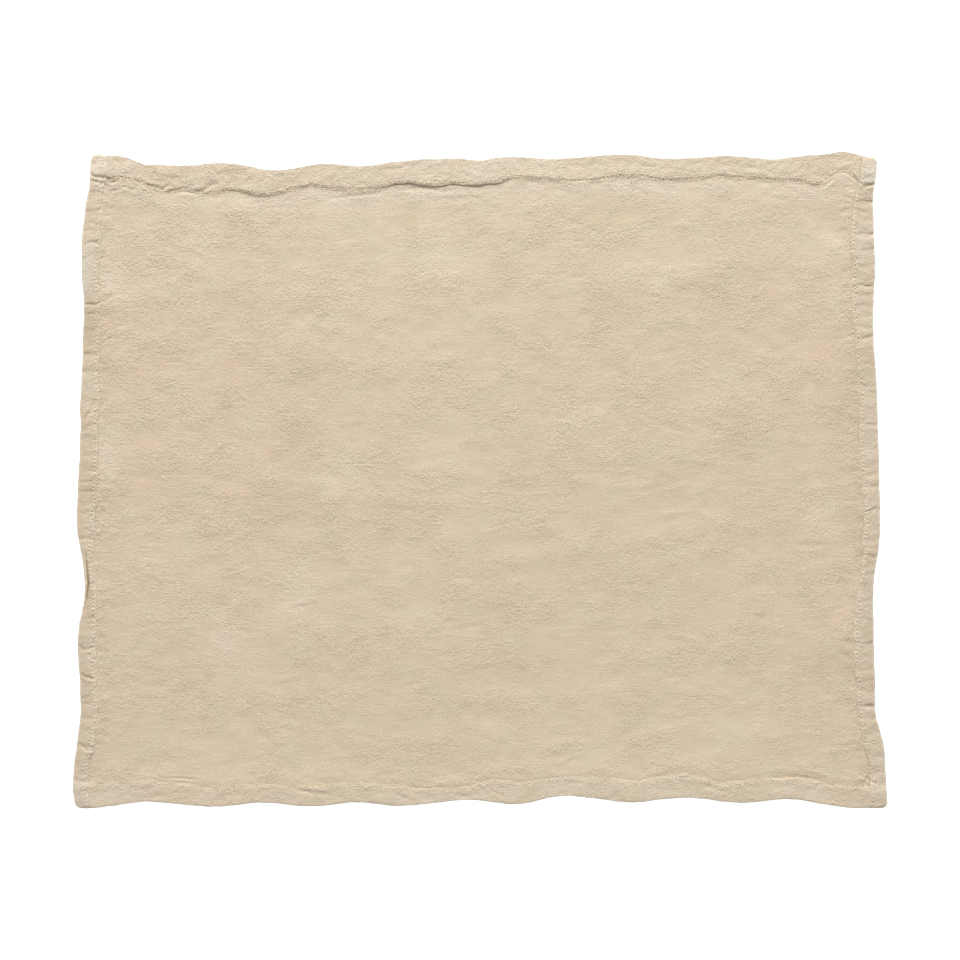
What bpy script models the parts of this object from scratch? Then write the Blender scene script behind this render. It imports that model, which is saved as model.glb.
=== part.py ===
"""A washed-linen placemat with turned hems, lying flat and face up, as one closed solid.

A thin cloth panel carries a thicker hem along its four sides. The edges wander in and out, the hems
change in width as they go, the side hems are drawn into puckers by their seam, and the panel keeps
the soft creases of having been washed and folded. At the corners the side hems lie over the ends of
the other two, so the cloth is thickest there. The underside is flat.

Metres, +Z up, +X along the longer sides. The origin is on the table under the middle of the mat.
"""

import math
from collections import namedtuple

import bmesh
import bpy

MM = 0.001

# Driving sizes, in metres
MEAN_LENGTH = 0.500
MEAN_DEPTH = 0.404
MEAN_SIDE_HEM = 0.011
MEAN_END_HEM = 0.014
PANEL_THICKNESS = 0.0012
HEM_RISE = 0.0014  # what the two turned layers of one hem add
CORNER_RADIUS = 0.004
UNDERSIDE_INSET = 0.0008  # how far the flat underside stands in from the rolled edge
PUCKER_WIDTH = 0.009
COLUMN_PITCH = 0.014
ROW_PITCH = 0.0055

CLOTH_COLOUR = (0.67, 0.56, 0.41, 1.0)
CLOTH_ROUGHNESS = 0.9

# One row for each crest or hollow of an edge, in millimetres: where it is along the side, how far
# the edge stands outside the straight side of the mean mat, and how wide the hem is there.
Wave = namedtuple("Wave", "along out hem")

BACK_WAVES = (  # the +Y side, from -X to +X
    Wave(-245, 2.5, 13.0),
    Wave(-228, 2.0, 14.0),
    Wave(-207, -3.7, 14.2),
    Wave(-190, -4.6, 14.4),
    Wave(-160, -2.8, 17.8),
    Wave(-127, -7.2, 16.5),
    Wave(-96, -3.2, 14.0),
    Wave(-76, -4.6, 15.0),
    Wave(-38, -0.6, 15.5),
    Wave(-14, -0.2, 16.0),
    Wave(-1, -1.3, 15.8),
    Wave(19, 1.1, 13.3),
    Wave(43, -0.2, 14.2),
    Wave(91, 2.4, 13.9),
    Wave(121, -0.3, 13.7),
    Wave(155, 1.8, 12.9),
    Wave(184, -0.3, 13.1),
    Wave(213, 2.6, 18.2),
    Wave(228, 4.1, 12.0),
    Wave(247, 0.8, 18.0),
)
FRONT_WAVES = (  # the -Y side, from -X to +X
    Wave(-248, 4.3, 16.0),
    Wave(-207, 0.5, 13.5),
    Wave(-167, 3.5, 13.1),
    Wave(-135, 1.2, 12.7),
    Wave(-106, 3.2, 13.4),
    Wave(-78, 0.6, 12.7),
    Wave(-51, 3.0, 12.9),
    Wave(-6, -0.7, 11.5),
    Wave(22, 2.1, 14.4),
    Wave(53, -3.4, 13.1),
    Wave(96, 0.9, 13.9),
    Wave(126, -2.1, 15.3),
    Wave(167, 1.1, 12.8),
    Wave(191, -1.3, 14.3),
    Wave(238, 4.4, 14.1),
    Wave(252, 4.2, 13.9),
)
LEFT_WAVES = (  # the -X side, from -Y to +Y
    Wave(-204, 4.2, 11.0),
    Wave(-193, 5.4, 10.7),
    Wave(-139, 0.6, 10.4),
    Wave(-102, 2.5, 11.0),
    Wave(-66, -2.1, 7.4),
    Wave(-25, 2.9, 11.8),
    Wave(32, 1.0, 11.2),
    Wave(110, -1.3, 10.5),
    Wave(142, 0.3, 12.0),
    Wave(203, -6.0, 10.0),
)
RIGHT_WAVES = (  # the +X side, from -Y to +Y
    Wave(-200, 6.2, 11.2),
    Wave(-190, 5.8, 11.0),
    Wave(-172, 4.6, 11.0),
    Wave(-141, -1.4, 11.0),
    Wave(-75, -2.6, 11.3),
    Wave(-28, 1.8, 10.5),
    Wave(47, 0.1, 12.0),
    Wave(100, -2.8, 11.8),
    Wave(132, -1.4, 11.2),
    Wave(176, -2.8, 11.4),
    Wave(198, -0.2, 12.0),
)

# The creases that cross a side hem, in millimetres: where each is along the side and how deep.
Pucker = namedtuple("Pucker", "along depth")

LEFT_PUCKERS = (
    Pucker(-188, 0.7),
    Pucker(-148, 0.5),
    Pucker(-125, 0.5),
    Pucker(-37, 0.6),
    Pucker(-8, 0.9),
    Pucker(43, 0.6),
    Pucker(79, 0.6),
    Pucker(110, 0.8),
    Pucker(188, 0.7),
)
RIGHT_PUCKERS = (
    Pucker(-190, 0.7),
    Pucker(-142, 0.9),
    Pucker(-103, 0.7),
    Pucker(-48, 0.7),
    Pucker(-19, 0.8),
    Pucker(-4, 0.5),
    Pucker(35, 0.7),
    Pucker(87, 0.7),
    Pucker(122, 0.8),
    Pucker(155, 0.7),
    Pucker(174, 0.7),
)

# The soft ridges and, with a negative rise, troughs of the panel, in millimetres: the two ends of
# each one's line, its half width and its height.
Crease = namedtuple("Crease", "x0 y0 x1 y1 width rise")

PANEL_CREASES = (
    Crease(-238, -6, -90, -4, 9, 0.30),  # the fold across the middle, in three lengths
    Crease(-90, -4, 70, -6, 9, -0.25),
    Crease(70, -6, 240, -3, 9, 0.28),
    Crease(-113, 90, -108, -60, 12, 0.22),
    Crease(10, -52, 130, -34, 11, 0.22),
    Crease(-205, 176, -150, 168, 12, 0.35),
    Crease(205, 172, 232, 150, 11, -0.35),
    Crease(-225, 110, -190, 122, 12, 0.30),
    Crease(-60, 150, 40, 160, 14, 0.22),
    Crease(80, 120, 190, 138, 14, 0.25),
    Crease(-180, -110, -60, -128, 15, -0.18),
    Crease(60, -140, 200, -120, 15, 0.18),
    Crease(-13, -184, 12, -199, 6, -0.35),
    Crease(-220, -184, -195, -177, 7, -0.30),
)

# One row for each line of points across a hem, from the outer edge in: how far across the hem it
# runs, and its share of the hem's rise.
Station = namedtuple("Station", "across rise")

HEM_STATIONS = (
    Station(0.00, 0.00),
    Station(0.07, 0.70),
    Station(0.20, 1.00),
    Station(0.60, 1.00),
    Station(0.83, 0.75),  # drawn down by the seam
    Station(0.95, 1.00),
    Station(1.00, 0.65),
    Station(1.04, 0.00),
)


def smooth_step(t):
    """0 to 1 as t goes from 0 to 1, level at both ends."""
    t = min(max(t, 0.0), 1.0)
    return t * t * (3 - 2 * t)


def wave_at(waves, along, column):
    """One column of a table of waves, in metres, read smoothly at a place along its side."""
    along /= MM
    if along <= waves[0].along:
        return getattr(waves[0], column) * MM
    for near, far in zip(waves, waves[1:]):
        if along <= far.along:
            share = smooth_step((along - near.along) / (far.along - near.along))
            low, high = getattr(near, column), getattr(far, column)
            return (low + (high - low) * share) * MM
    return getattr(waves[-1], column) * MM


def bell(distance, width):
    """A soft rise of 1 in the middle that is gone at the width."""
    share = min(abs(distance) / width, 1.0)
    return 0.5 + 0.5 * math.cos(math.pi * share)


def distance_to_segment(x, y, crease):
    """How far a point is from the line of a crease."""
    run_x, run_y = (crease.x1 - crease.x0) * MM, (crease.y1 - crease.y0) * MM
    off_x, off_y = x - crease.x0 * MM, y - crease.y0 * MM
    share = (off_x * run_x + off_y * run_y) / (run_x**2 + run_y**2)
    share = min(max(share, 0.0), 1.0)
    return math.hypot(off_x - share * run_x, off_y - share * run_y)


def crease_rise(x, y):
    """What the panel's creases add at a point."""
    return sum(
        crease.rise * MM * bell(distance_to_segment(x, y, crease), crease.width * MM)
        for crease in PANEL_CREASES
    )


def pucker_drop(puckers, along):
    """How far the creases across a side hem draw it down at a place along the side."""
    drops = (
        pucker.depth * MM * bell(along - pucker.along * MM, PUCKER_WIDTH / 2)
        for pucker in puckers
    )
    return max(drops)


# A line of the grid. On a hem, side is -1 or +1 and across and rise are its station's. On the
# panel, side is 0 and share is how far it is from the low side's hem to the high side's.
Line = namedtuple("Line", "side across rise share")

PANEL_START = HEM_STATIONS[-1].across


def lines_across(mean_size, hem, pitch):
    """The grid's lines from one side to the other: hem stations, even panel lines, hem stations."""
    count = round((mean_size - 2 * hem) / pitch)
    low = [Line(-1, station.across, station.rise, 0.0) for station in HEM_STATIONS]
    panel = [Line(0, PANEL_START, 0.0, i / count) for i in range(1, count)]
    high = [Line(1, station.across, station.rise, 1.0) for station in reversed(HEM_STATIONS)]
    return low + panel + high


def place(line, low_edge, low_hem, high_edge, high_hem):
    """Where a line runs between two edges, at one point of its length."""
    low = low_edge + low_hem * line.across
    high = high_edge - high_hem * line.across
    if line.side < 0:
        return low
    if line.side > 0:
        return high
    return low + (high - low) * line.share


def mean_place(line, mean_size, hem):
    """Where a line would run on a straight-sided mat."""
    return place(line, -mean_size / 2, hem, mean_size / 2, hem)


def round_corner(x, y, corner_x, corner_y):
    """Draws a point near a square corner in, so that the corner's outline is an arc."""
    centre_x = corner_x - math.copysign(CORNER_RADIUS, corner_x)
    centre_y = corner_y - math.copysign(CORNER_RADIUS, corner_y)
    off_x = (x - centre_x) / CORNER_RADIUS
    off_y = (y - centre_y) / CORNER_RADIUS
    beyond = off_x * corner_x > 0 and off_y * corner_y > 0
    if not beyond:
        return x, y
    off_x, off_y = (
        off_x * math.sqrt(max(1 - off_y**2 / 2, 0.0)),
        off_y * math.sqrt(max(1 - off_x**2 / 2, 0.0)),
    )
    return centre_x + off_x * CORNER_RADIUS, centre_y + off_y * CORNER_RADIUS


def point_on_face(column, row):
    """A point of the mat's face: where the grid's column and row lines cross."""
    mean_x = mean_place(column, MEAN_LENGTH, MEAN_SIDE_HEM)
    mean_y = mean_place(row, MEAN_DEPTH, MEAN_END_HEM)

    left = -MEAN_LENGTH / 2 - wave_at(LEFT_WAVES, mean_y, "out")
    right = MEAN_LENGTH / 2 + wave_at(RIGHT_WAVES, mean_y, "out")
    front = -MEAN_DEPTH / 2 - wave_at(FRONT_WAVES, mean_x, "out")
    back = MEAN_DEPTH / 2 + wave_at(BACK_WAVES, mean_x, "out")

    left_hem = wave_at(LEFT_WAVES, mean_y, "hem")
    right_hem = wave_at(RIGHT_WAVES, mean_y, "hem")
    front_hem = wave_at(FRONT_WAVES, mean_x, "hem")
    back_hem = wave_at(BACK_WAVES, mean_x, "hem")

    x = place(column, left, left_hem, right, right_hem)
    y = place(row, front, front_hem, back, back_hem)

    z = PANEL_THICKNESS + HEM_RISE * (column.rise + row.rise)
    if column.side:
        puckers = LEFT_PUCKERS if column.side < 0 else RIGHT_PUCKERS
        z -= column.rise * pucker_drop(puckers, y)
    if column.across > 0 and row.across > 0:
        z += crease_rise(x, y)

    corner_x = left if mean_x < 0 else right
    corner_y = front if mean_y < 0 else back
    x, y = round_corner(x, y, corner_x, corner_y)
    return x, y, z


def centre_on_origin(bm):
    """Slides the mat sideways so that the middle of its outline's box is over the origin."""
    for axis in (0, 1):
        places = [vert.co[axis] for vert in bm.verts]
        middle = (min(places) + max(places)) / 2
        for vert in bm.verts:
            vert.co[axis] -= middle


def cloth_mesh():
    """The mat as a grid of points on its face, closed by a flat underside."""
    columns = lines_across(MEAN_LENGTH, MEAN_SIDE_HEM, COLUMN_PITCH)
    rows = lines_across(MEAN_DEPTH, MEAN_END_HEM, ROW_PITCH)
    bm = bmesh.new()
    bmesh.ops.create_grid(bm, x_segments=len(columns) - 1, y_segments=len(rows) - 1, size=1)
    for vert in bm.verts:
        column = columns[round((vert.co.x + 1) / 2 * (len(columns) - 1))]
        row = rows[round((vert.co.y + 1) / 2 * (len(rows) - 1))]
        vert.co = point_on_face(column, row)

    under = bmesh.ops.extrude_face_region(bm, geom=list(bm.faces), use_keep_orig=True)
    for vert in under["geom"]:
        if isinstance(vert, bmesh.types.BMVert):
            vert.co.x *= 1 - UNDERSIDE_INSET / (MEAN_LENGTH / 2)
            vert.co.y *= 1 - UNDERSIDE_INSET / (MEAN_DEPTH / 2)
            vert.co.z = 0.0
    bmesh.ops.recalc_face_normals(bm, faces=bm.faces)
    centre_on_origin(bm)

    mesh = bpy.data.meshes.new("placemat_cloth")
    bm.to_mesh(mesh)
    bm.free()
    mesh.shade_smooth()
    return mesh


def linen_material():
    """Undyed, washed linen."""
    material = bpy.data.materials.new("washed_linen")
    material.use_nodes = True
    shader = material.node_tree.nodes["Principled BSDF"]
    shader.inputs["Base Color"].default_value = CLOTH_COLOUR
    shader.inputs["Roughness"].default_value = CLOTH_ROUGHNESS
    shader.inputs["Metallic"].default_value = 0.0
    return material


def clear_scene():
    """Removes what the file opened with."""
    for obj in list(bpy.data.objects):
        bpy.data.objects.remove(obj, do_unlink=True)


def main():
    clear_scene()
    collection = bpy.data.collections.new("placemat")
    bpy.context.scene.collection.children.link(collection)
    cloth = bpy.data.objects.new("placemat_cloth", cloth_mesh())
    cloth.data.materials.append(linen_material())
    collection.objects.link(cloth)


main()
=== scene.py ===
"""A washed-linen placemat with turned hems, lying flat and face up, dressed over its cloth solid.

The panel is one thin cloth with the swells, fold marks and crinkles that washing leaves. Each of its
four edges is turned over twice and sewn down. The two end hems are turned first, so the side hems
lie over their ends, and the seams draw the side hems into puckers.

+Z is up, and +X runs along the longer sides. Lengths are in metres where nothing else is said.
The listed tables are in millimetres, in the mat's own frame, whose origin is the middle of the mean mat;
`Outline.shift` slides it to the solid's frame.
"""

import logging
import math
from dataclasses import dataclass
from enum import Enum
from functools import cached_property
from typing import Callable, NamedTuple, Sequence, TypeVar

import bpy
import numpy as np
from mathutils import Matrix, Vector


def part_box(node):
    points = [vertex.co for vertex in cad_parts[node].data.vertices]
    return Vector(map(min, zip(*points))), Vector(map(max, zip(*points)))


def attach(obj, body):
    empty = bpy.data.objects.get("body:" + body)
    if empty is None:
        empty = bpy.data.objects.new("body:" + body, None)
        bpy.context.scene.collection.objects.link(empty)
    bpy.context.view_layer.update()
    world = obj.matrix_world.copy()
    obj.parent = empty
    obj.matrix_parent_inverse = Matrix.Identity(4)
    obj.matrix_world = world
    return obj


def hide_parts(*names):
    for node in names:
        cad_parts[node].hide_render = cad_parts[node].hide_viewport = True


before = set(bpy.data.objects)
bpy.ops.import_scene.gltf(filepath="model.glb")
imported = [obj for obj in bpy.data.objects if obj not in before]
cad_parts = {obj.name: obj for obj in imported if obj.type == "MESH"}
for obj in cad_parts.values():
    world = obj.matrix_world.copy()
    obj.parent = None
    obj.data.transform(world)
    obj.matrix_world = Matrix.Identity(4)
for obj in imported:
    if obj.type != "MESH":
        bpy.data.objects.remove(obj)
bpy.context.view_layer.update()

log = logging.getLogger("placemat")

# Short names for the types that recur
Array = np.ndarray
Socket = bpy.types.NodeSocket
Material = bpy.types.Material
Point = tuple[float, float]
Span = tuple[float, float]
Row = tuple[float, ...]
Values = dict[float, float]
Line = Callable[[Array], Array]
Colour = tuple[float, float, float, float]
Kind = TypeVar("Kind")

MM = 0.001
CLOTH_NODE = "placemat_cloth"
BODY = "root"
WHITE = (1.0, 1.0, 1.0, 1.0)
UV_NAME = "cloth"
# The cloth's per-point attribute: a tone that holds painted light and shade as well as the cloth's own uneven
# tone, the crush of its grain, and its greyness
WEAR_AND_SHADE_NAME = "wear_and_shade"

PANEL_TOP = 1.2 * MM
HEM_TOP = 2.6 * MM
HEM_LAYERS = HEM_TOP - PANEL_TOP
SEAM_INSET = 2.1 * MM  # from a hem's inner fold out to its row of stitches
STITCH_PITCH = 2.5 * MM
CORNER_RADIUS = 4.0 * MM
SETTLING_TURNS = 5  # until places that depend on each other lie still
DENSITY_STEPS = 8001  # at which a density is read
CREASE_SWAY = 0.7 * MM  # how far noise bends the line of a sharp crease
SHOULDER_SHARE = 0.25  # of a crease's depth, given back on each side of it
SHOULDER_PLACE = 2.1  # widths from the crease's line


# ---- The sides and their tables ----


class Side(Enum):
    """The four sides of the mat, seen from above with its back away from the viewer."""

    BACK = "back"
    FRONT = "front"
    LEFT = "left"
    RIGHT = "right"

    @property
    def outward(self) -> float:
        """+1 where the side faces +X or +Y, and otherwise -1."""
        return 1.0 if self in (Side.BACK, Side.RIGHT) else -1.0

    @property
    def runs_along_x(self) -> bool:
        """Whether it is one of the two long sides."""
        return self in (Side.BACK, Side.FRONT)

    @property
    def ends(self) -> tuple["Side", "Side"]:
        """The sides that it meets at its low and its high end."""
        return (Side.LEFT, Side.RIGHT) if self.runs_along_x else (Side.FRONT, Side.BACK)

    @property
    def seed(self) -> int:
        """A number of its own for the side's random shapes."""
        return list(Side).index(self) + 1

    def unevenness(self, along: Array, scales: Sequence[Point]) -> Array:
        """Small random waves along the side, the sum of smooth noises.

        Args:
            along: places along the side.
            scales: each noise's pitch and rise, in millimetres.

        Returns:
            The waves' heights.
        """
        total = np.zeros_like(along)
        for i, (pitch, rise) in enumerate(scales):
            row = np.full_like(along, 0.37 * pitch * MM)
            noise = lattice_noise(along, row, pitch, pitch, 200 + 10 * self.seed + i)
            total += rise * MM * noise
        return total

    def lip_blend(self, along: Array) -> Array:
        """How far the hem's lip blends into the panel: 0 for a free overhang, and above 1 for none."""
        uneven = self.unevenness(along, BLEND_RAG) / MM
        return np.clip(between_rows(LIP_BLEND[self], along) * (1 + uneven), 0.0, LOST_BLEND)


@dataclass(frozen=True)
class WaveTable:
    """Values by their places along a side, one for each crest or hollow, in millimetres.

    Between two places the value follows a cubic curve. It is level at each if `level` is set, and
    otherwise it has there the mean slope to the places beside it.
    """

    rows: Values
    level: bool = False

    def read(self, along: Array) -> Array:
        """The value at each place along the side, both in metres.

        The curve is Hermite's: with t from 0 to 1 between two places, it is the first value times
        (1 + 2t)(1 - t)^2, plus the second times t^2(3 - 2t), plus what the two slopes add.

        Args:
            along: places along the side.

        Returns:
            An array of the same shape.
        """
        knots, values = np.array(list(self.rows.items())).T * MM
        slopes = np.zeros_like(values) if self.level else np.gradient(values, knots)
        low = np.clip(np.searchsorted(knots, along) - 1, 0, len(knots) - 2)
        run = knots[low + 1] - knots[low]
        t = np.clip((along - knots[low]) / run, 0.0, 1.0)
        return (
            values[low] * (1 + 2 * t) * (1 - t) ** 2
            + values[low + 1] * t**2 * (3 - 2 * t)
            + slopes[low] * run * t * (1 - t) ** 2
            - slopes[low + 1] * run * t**2 * (1 - t)
        )

    def greatest(self) -> float:
        """The largest value of the table, in metres."""
        return max(self.rows.values()) * MM


def by_side(back: Kind, front: Kind, left: Kind, right: Kind) -> dict[Side, Kind]:
    """One value for each side of the mat."""
    return dict(zip(Side, (back, front, left, right)))


def table(kind: Callable[..., Kind], *rows: Sequence) -> tuple[Kind, ...]:
    """The rows of a listed table, each of them read as one thing of a kind."""
    return tuple(kind(*row) for row in rows)


def wave_tables(level: bool = False, **rows: Values) -> dict[Side, WaveTable]:
    """A table of waves for each side, from the values under the side's name."""
    return {side: WaveTable(rows[side.value], level) for side in Side}


def between_rows(rows: Values, along: Array) -> Array:
    """A table's value at each place, straight between two of its own, which are in millimetres."""
    places, values = np.array(list(rows.items())).T
    return np.interp(along, places * MM, values)


# How far each edge stands outside the straight side of the mean mat
EDGE_WAVES = wave_tables(
    back={
        -245: 2.5, -228: 2, -207: -3.7, -190: -4.6, -160: -2.8, -127: -7.2, -96: -3.2, -76: -4.6, -38: -0.6,
        -14: -0.2, -1: -1.3, 19: 1.1, 43: -0.2, 91: 2.4, 121: -0.3, 155: 1.8, 184: -0.3, 213: 2.6, 228: 4.1,
        247: 0.8,
    },
    front={
        -248: 4.3, -207: 0.5, -167: 3.5, -135: 1.2, -106: 3.2, -78: 0.6, -51: 3, -6: -0.7, 22: 2.1, 53: -3.4,
        96: 0.9, 126: -2.1, 167: 1.1, 191: -1.3, 238: 4.4, 252: 4.2,
    },
    left={
        -204: 4.2, -193: 5.4, -139: 0.6, -102: 2.5, -66: -2.1, -25: 2.9, 32: 1, 110: -1.3, 142: 0.3, 203: -6,
    },
    right={
        -200: 6.2, -190: 5.8, -172: 4.6, -141: -1.4, -75: -2.6, -28: 1.8, 47: 0.1, 100: -2.8, 132: -1.4,
        176: -2.8, 198: -0.2,
    },
    level=True,
)

# How far each hem's inner fold lies inside the straight side of the mean mat
FOLD_LINES = wave_tables(
    back={
        -240: 11.8, -224: 13.7, -209: 16.9, -197: 21.3, -186: 19.7, -173: 21.9, -166: 22.4, -156: 20.1,
        -142: 23.5, -137: 24, -126: 22.1, -113: 18.7, -103: 18, -88: 19.3, -81: 20.2, -63: 18, -43: 16.5,
        -32: 18, -16: 16.8, -4: 17.7, 5: 16.5, 14.5: 15.8, 18.5: 13.5, 29: 13, 49: 14.9, 79: 13.3, 90: 12.1,
        104: 12.7, 119: 14.6, 139: 13, 153: 11.8, 167: 13, 188: 14, 202: 14.9, 214: 16.3, 221: 11.8, 228: 8,
        233: 10, 239: 14.8, 246: 17.1,
    },
    front={
        -242: 11.8, -222: 12.4, -207: 13, -167: 9.6, -136: 11.5, -106: 10.2, -78: 12.1, -46: 9.9, -6: 10.8,
        7: 14, 24: 12.4, 52: 16.5, 79: 15.2, 97: 13, 127: 17.4, 153: 12.1, 167: 14, 192: 15.6, 220: 11.5,
        232: 9.9, 245: 9.6,
    },
    left={
        -197: 4.6, -189: 4.8, -176: 6.3, -164: 8.2, -138: 9.8, -120: 8.8, -82: 10.1, -57: 7.9, -40: 7.9,
        -25: 8.8, 0: 10.1, 31: 10.1, 75: 11.1, 113: 11.4, 145: 11.7, 160: 12.6, 182: 13.9, 190: 15.4,
        201: 16.6,
    },
    right={
        -198: 5, -186: 5.1, -167: 8.8, -138: 13.3, -76: 13.3, -41: 9.5, -9: 9.5, 25: 12.6, 50: 11.4,
        82: 13.9, 179: 13.9, 188: 12, 196: 10.6, 202: 10.4,
    },
)

# The small unevenness of every edge and fold, as (pitch, rise) in millimetres
EDGE_RAG = ((11.0, 0.26), (4.4, 0.19))
FOLD_RAG = ((15.0, 0.5), (6.5, 0.5), (3.4, 0.28))

# How far each hem's lip blends into the panel, by the place in millimetres: 0 for a free overhang,
# 1 for a lip that lies close, and LOST_BLEND where it can't be told from the panel
LOST_BLEND = 1.4
LIP_BLEND = by_side(
    back={
        -250: 1.2, -240: 1.4, -206: 1.35, -198: 1, -182: 1, -172: 0.8, -112: 0.85, -88: 1.2, -76: 1.1,
        -62: 0.8, -54: 0, 10: 0, 24: 1, 60: 1.2, 110: 1.05, 118: 0.75, 137: 0.8, 165: 1.1, 182: 0.95,
        205: 0.7, 213: 0.9, 219: 1.35, 229: 1.3, 235: 1, 250: 1.1,
    },
    front={
        -250: 1.2, -212: 1.15, -200: 0.95, -176: 0.95, -165: 1.25, -15: 1.25, 0: 1, 15: 1.05, 30: 1.25,
        92: 1.2, 105: 1, 130: 1, 145: 1.25, 180: 1.2, 190: 1, 222: 1, 235: 1.15, 250: 1.15,
    },
    left={
        -205: 1.3, -180: 1.1, -60: 1, 10: 1, 16: 0.5, 29: 0.5, 34: 1, 60: 1.2, 110: 1.25, 150: 1.4, 205: 1.4,
    },
    right={
        -205: 1, -42: 1, -38: 0.5, -27: 0.5, -22: 1, 20: 1, 25: 0.5, 34: 0.5, 39: 1, 100: 1.15, 150: 1.3,
        205: 1.3,
    },
)
BLEND_RAG = ((31.0, 0.14), (10.0, 0.26), (4.5, 0.16))


class Draw(NamedTuple):
    """How the panel is drawn up to a hem whose lip blends into it, in millimetres.

    It rises by `rise` at the fold and takes `reach` to lie low again, but for the share `steep` of
    the rise, which falls away at once.
    """

    rise: float
    reach: float
    steep: float


DRAWS = by_side(
    Draw(0.69, 12.0, 0.52), Draw(0.6, 15.0, 0.0), Draw(0.74, 7.5, 0.1), Draw(0.74, 7.5, 0.1),
)

# How high each hem stands over the panel, as a share of a full one
LOFTS = by_side(0.8, 0.72, 1.0, 1.0)

# How much paler or darker each hem's lip is painted, from -1 for dark to 1 for pale: painted shade along
# the back lip, which faces away from the light, and along the front lip, which faces the light; the side
# hems' lips are painted paler. Likewise each seam's dip, which is painted paler, and each outer roll:
# painted shade on the back roll, which faces the light, the side rolls painted darker, and painted light
# on the front roll, which faces away from the light.
LIP_TONES = by_side(-0.2, -0.5, 0.8, 0.3)
SEAM_TONES = by_side(0.5, 0.35, 0.35, 0.15)
RIM_TONES = by_side(-2.9, 0.5, -0.9, -0.9)

# How far each hem's face falls from its inner fold to its outer edge, beside what the roll takes
CROWN = by_side(0.36 * MM, 0.1 * MM, 0.3 * MM, 0.3 * MM)


class Pucker(NamedTuple):
    """A crease across a side hem, in millimetres.

    It lies at `along` on the hem's middle, is `depth` deep, and its inner end lies `slant` further
    towards the back than its outer end.
    """

    along: float
    depth: float
    slant: float = 0.0


PUCKERS = by_side(
    back=(),
    front=(),
    left=table(
        Pucker,
        (188, 0.35, -0.8), (180.5, 0.35), (168.5, 0.5), (161, 0.35), (156.6, 0.3), (149, 0.4),
        (110, 0.5, 0.5), (103.8, 0.4), (94.3, 0.45, 2), (79.2, 0.6), (67.9, 0.4), (33.3, 0.4), (26.4, 0.4),
        (15.1, 0.35), (6.3, 0.35), (-1.3, 0.45), (-7.9, 0.5), (-13.8, 0.3), (-20.8, 0.35), (-37.1, 0.6),
        (-40.9, 0.4), (-86.8, 0.4), (-105.6, 0.4), (-108.8, 0.3), (-123.2, 0.5, -1.5), (-136.5, 0.35),
        (-140.2, 0.4), (-148.4, 0.45, 2.2), (-167.6, 0.5, -2.8), (-188, 0.6), (-196.8, 0.3),
    ),
    right=table(
        Pucker,
        (190.5, 0.3, 1), (185.5, 0.4, 0.4), (174.2, 0.9, 0.8), (169.2, 0.6), (154.7, 1, 0.6), (144.6, 0.5),
        (138.3, 0.3), (132.1, 0.3), (122, 0.8, -1.2), (117, 0.3), (109.4, 0.35), (102.5, 0.35), (96.2, 0.35),
        (88.7, 0.7, -2.4), (72.3, 0.4), (59.7, 0.4), (45.9, 0.4), (35.2, 0.8), (20.8, 0.4), (4.4, 0.45),
        (-3.8, 0.6, -1.2), (-12.6, 0.4), (-18.5, 0.8, -1.8), (-28.9, 0.4, 2), (-37.7, 0.35), (-42.1, 0.35),
        (-48.4, 0.8), (-59.7, 0.35), (-75.5, 0.4), (-86.8, 0.35), (-93.1, 0.35), (-103.1, 0.8),
        (-111.9, 0.35), (-119.5, 0.4), (-126.4, 0.35), (-142.1, 1.2, 0.8), (-149, 0.4), (-159.1, 0.6),
        (-166.6, 0.35), (-173.6, 0.45), (-183, 0.4), (-190.5, 0.55),
    ),
)


class Crease(NamedTuple):
    """A crease or a soft ridge, in millimetres: its half width, its rise and the line it follows.

    A furrow has a negative rise.
    """

    width: float
    rise: float
    points: tuple[Point, ...]

    @classmethod
    def about(cls, x: float, y: float, half: float, turn: float, width: float, rise: float) -> "Crease":
        """A straight one about its middle, `half` long each way and turned from x by an angle."""
        off_x, off_y = half * math.cos(turn), half * math.sin(turn)
        return cls(width, rise, ((x - off_x, y - off_y), (x + off_x, y + off_y)))


# The soft ridges and troughs of the panel
PANEL_SWELLS = table(
    Crease,
    (9, 0.14, ((-238, -6), (-90, -4))), (9, -0.12, ((-90, -4), (70, -6))),
    (9, 0.12, ((70, -6), (240, -3))), (12, 0.22, ((-113, 90), (-108, -60))),
    (11, 0.22, ((10, -52), (130, -34))), (12, 0.35, ((-205, 176), (-150, 168))),
    (11, -0.35, ((205, 172), (232, 150))), (12, 0.3, ((-225, 110), (-190, 122))),
    (14, 0.22, ((-60, 150), (40, 160))), (14, 0.25, ((80, 120), (190, 138))),
    (15, -0.18, ((-180, -110), (-60, -128))), (15, 0.18, ((60, -140), (200, -120))),
    (6, -0.35, ((-13, -184), (12, -199))), (7, -0.3, ((-220, -184), (-195, -177))),
)

# The marks of the fold across the panel's middle
FOLD_MARKS = table(
    Crease,
    (1.6, -0.14, ((-236, 3.4), (-214, 2))), (1.6, -0.15, ((-206, 3), (-184, 4.6))),
    (1.8, -0.12, ((-176, 1.2), (-152, -0.4))), (2.2, 0.16, ((-170, -9), (-148, -7.4))),
    (2.2, -0.14, ((-140, -3.6), (-108, -5))), (1.6, 0.12, ((-96, -5.4), (-72, -3.6))),
    (2, 0.16, ((-64, -3), (-38, -4.8))), (2.2, -0.14, ((-50, -10.6), (-12, -8.8))),
    (1.8, 0.13, ((-8, -6.2), (14, -7.8))), (2, 0.12, ((22, -9.8), (44, -9))),
    (2, -0.14, ((52, 2.8), (70, 4.2))), (1.8, 0.14, ((84, -5), (104, -3.4))),
    (2, -0.12, ((114, 0.8), (140, -1.2))), (1.6, -0.14, ((150, -3), (182, -4.4))),
    (1.8, -0.13, ((196, -1.4), (234, 0.6))),
)

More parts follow.
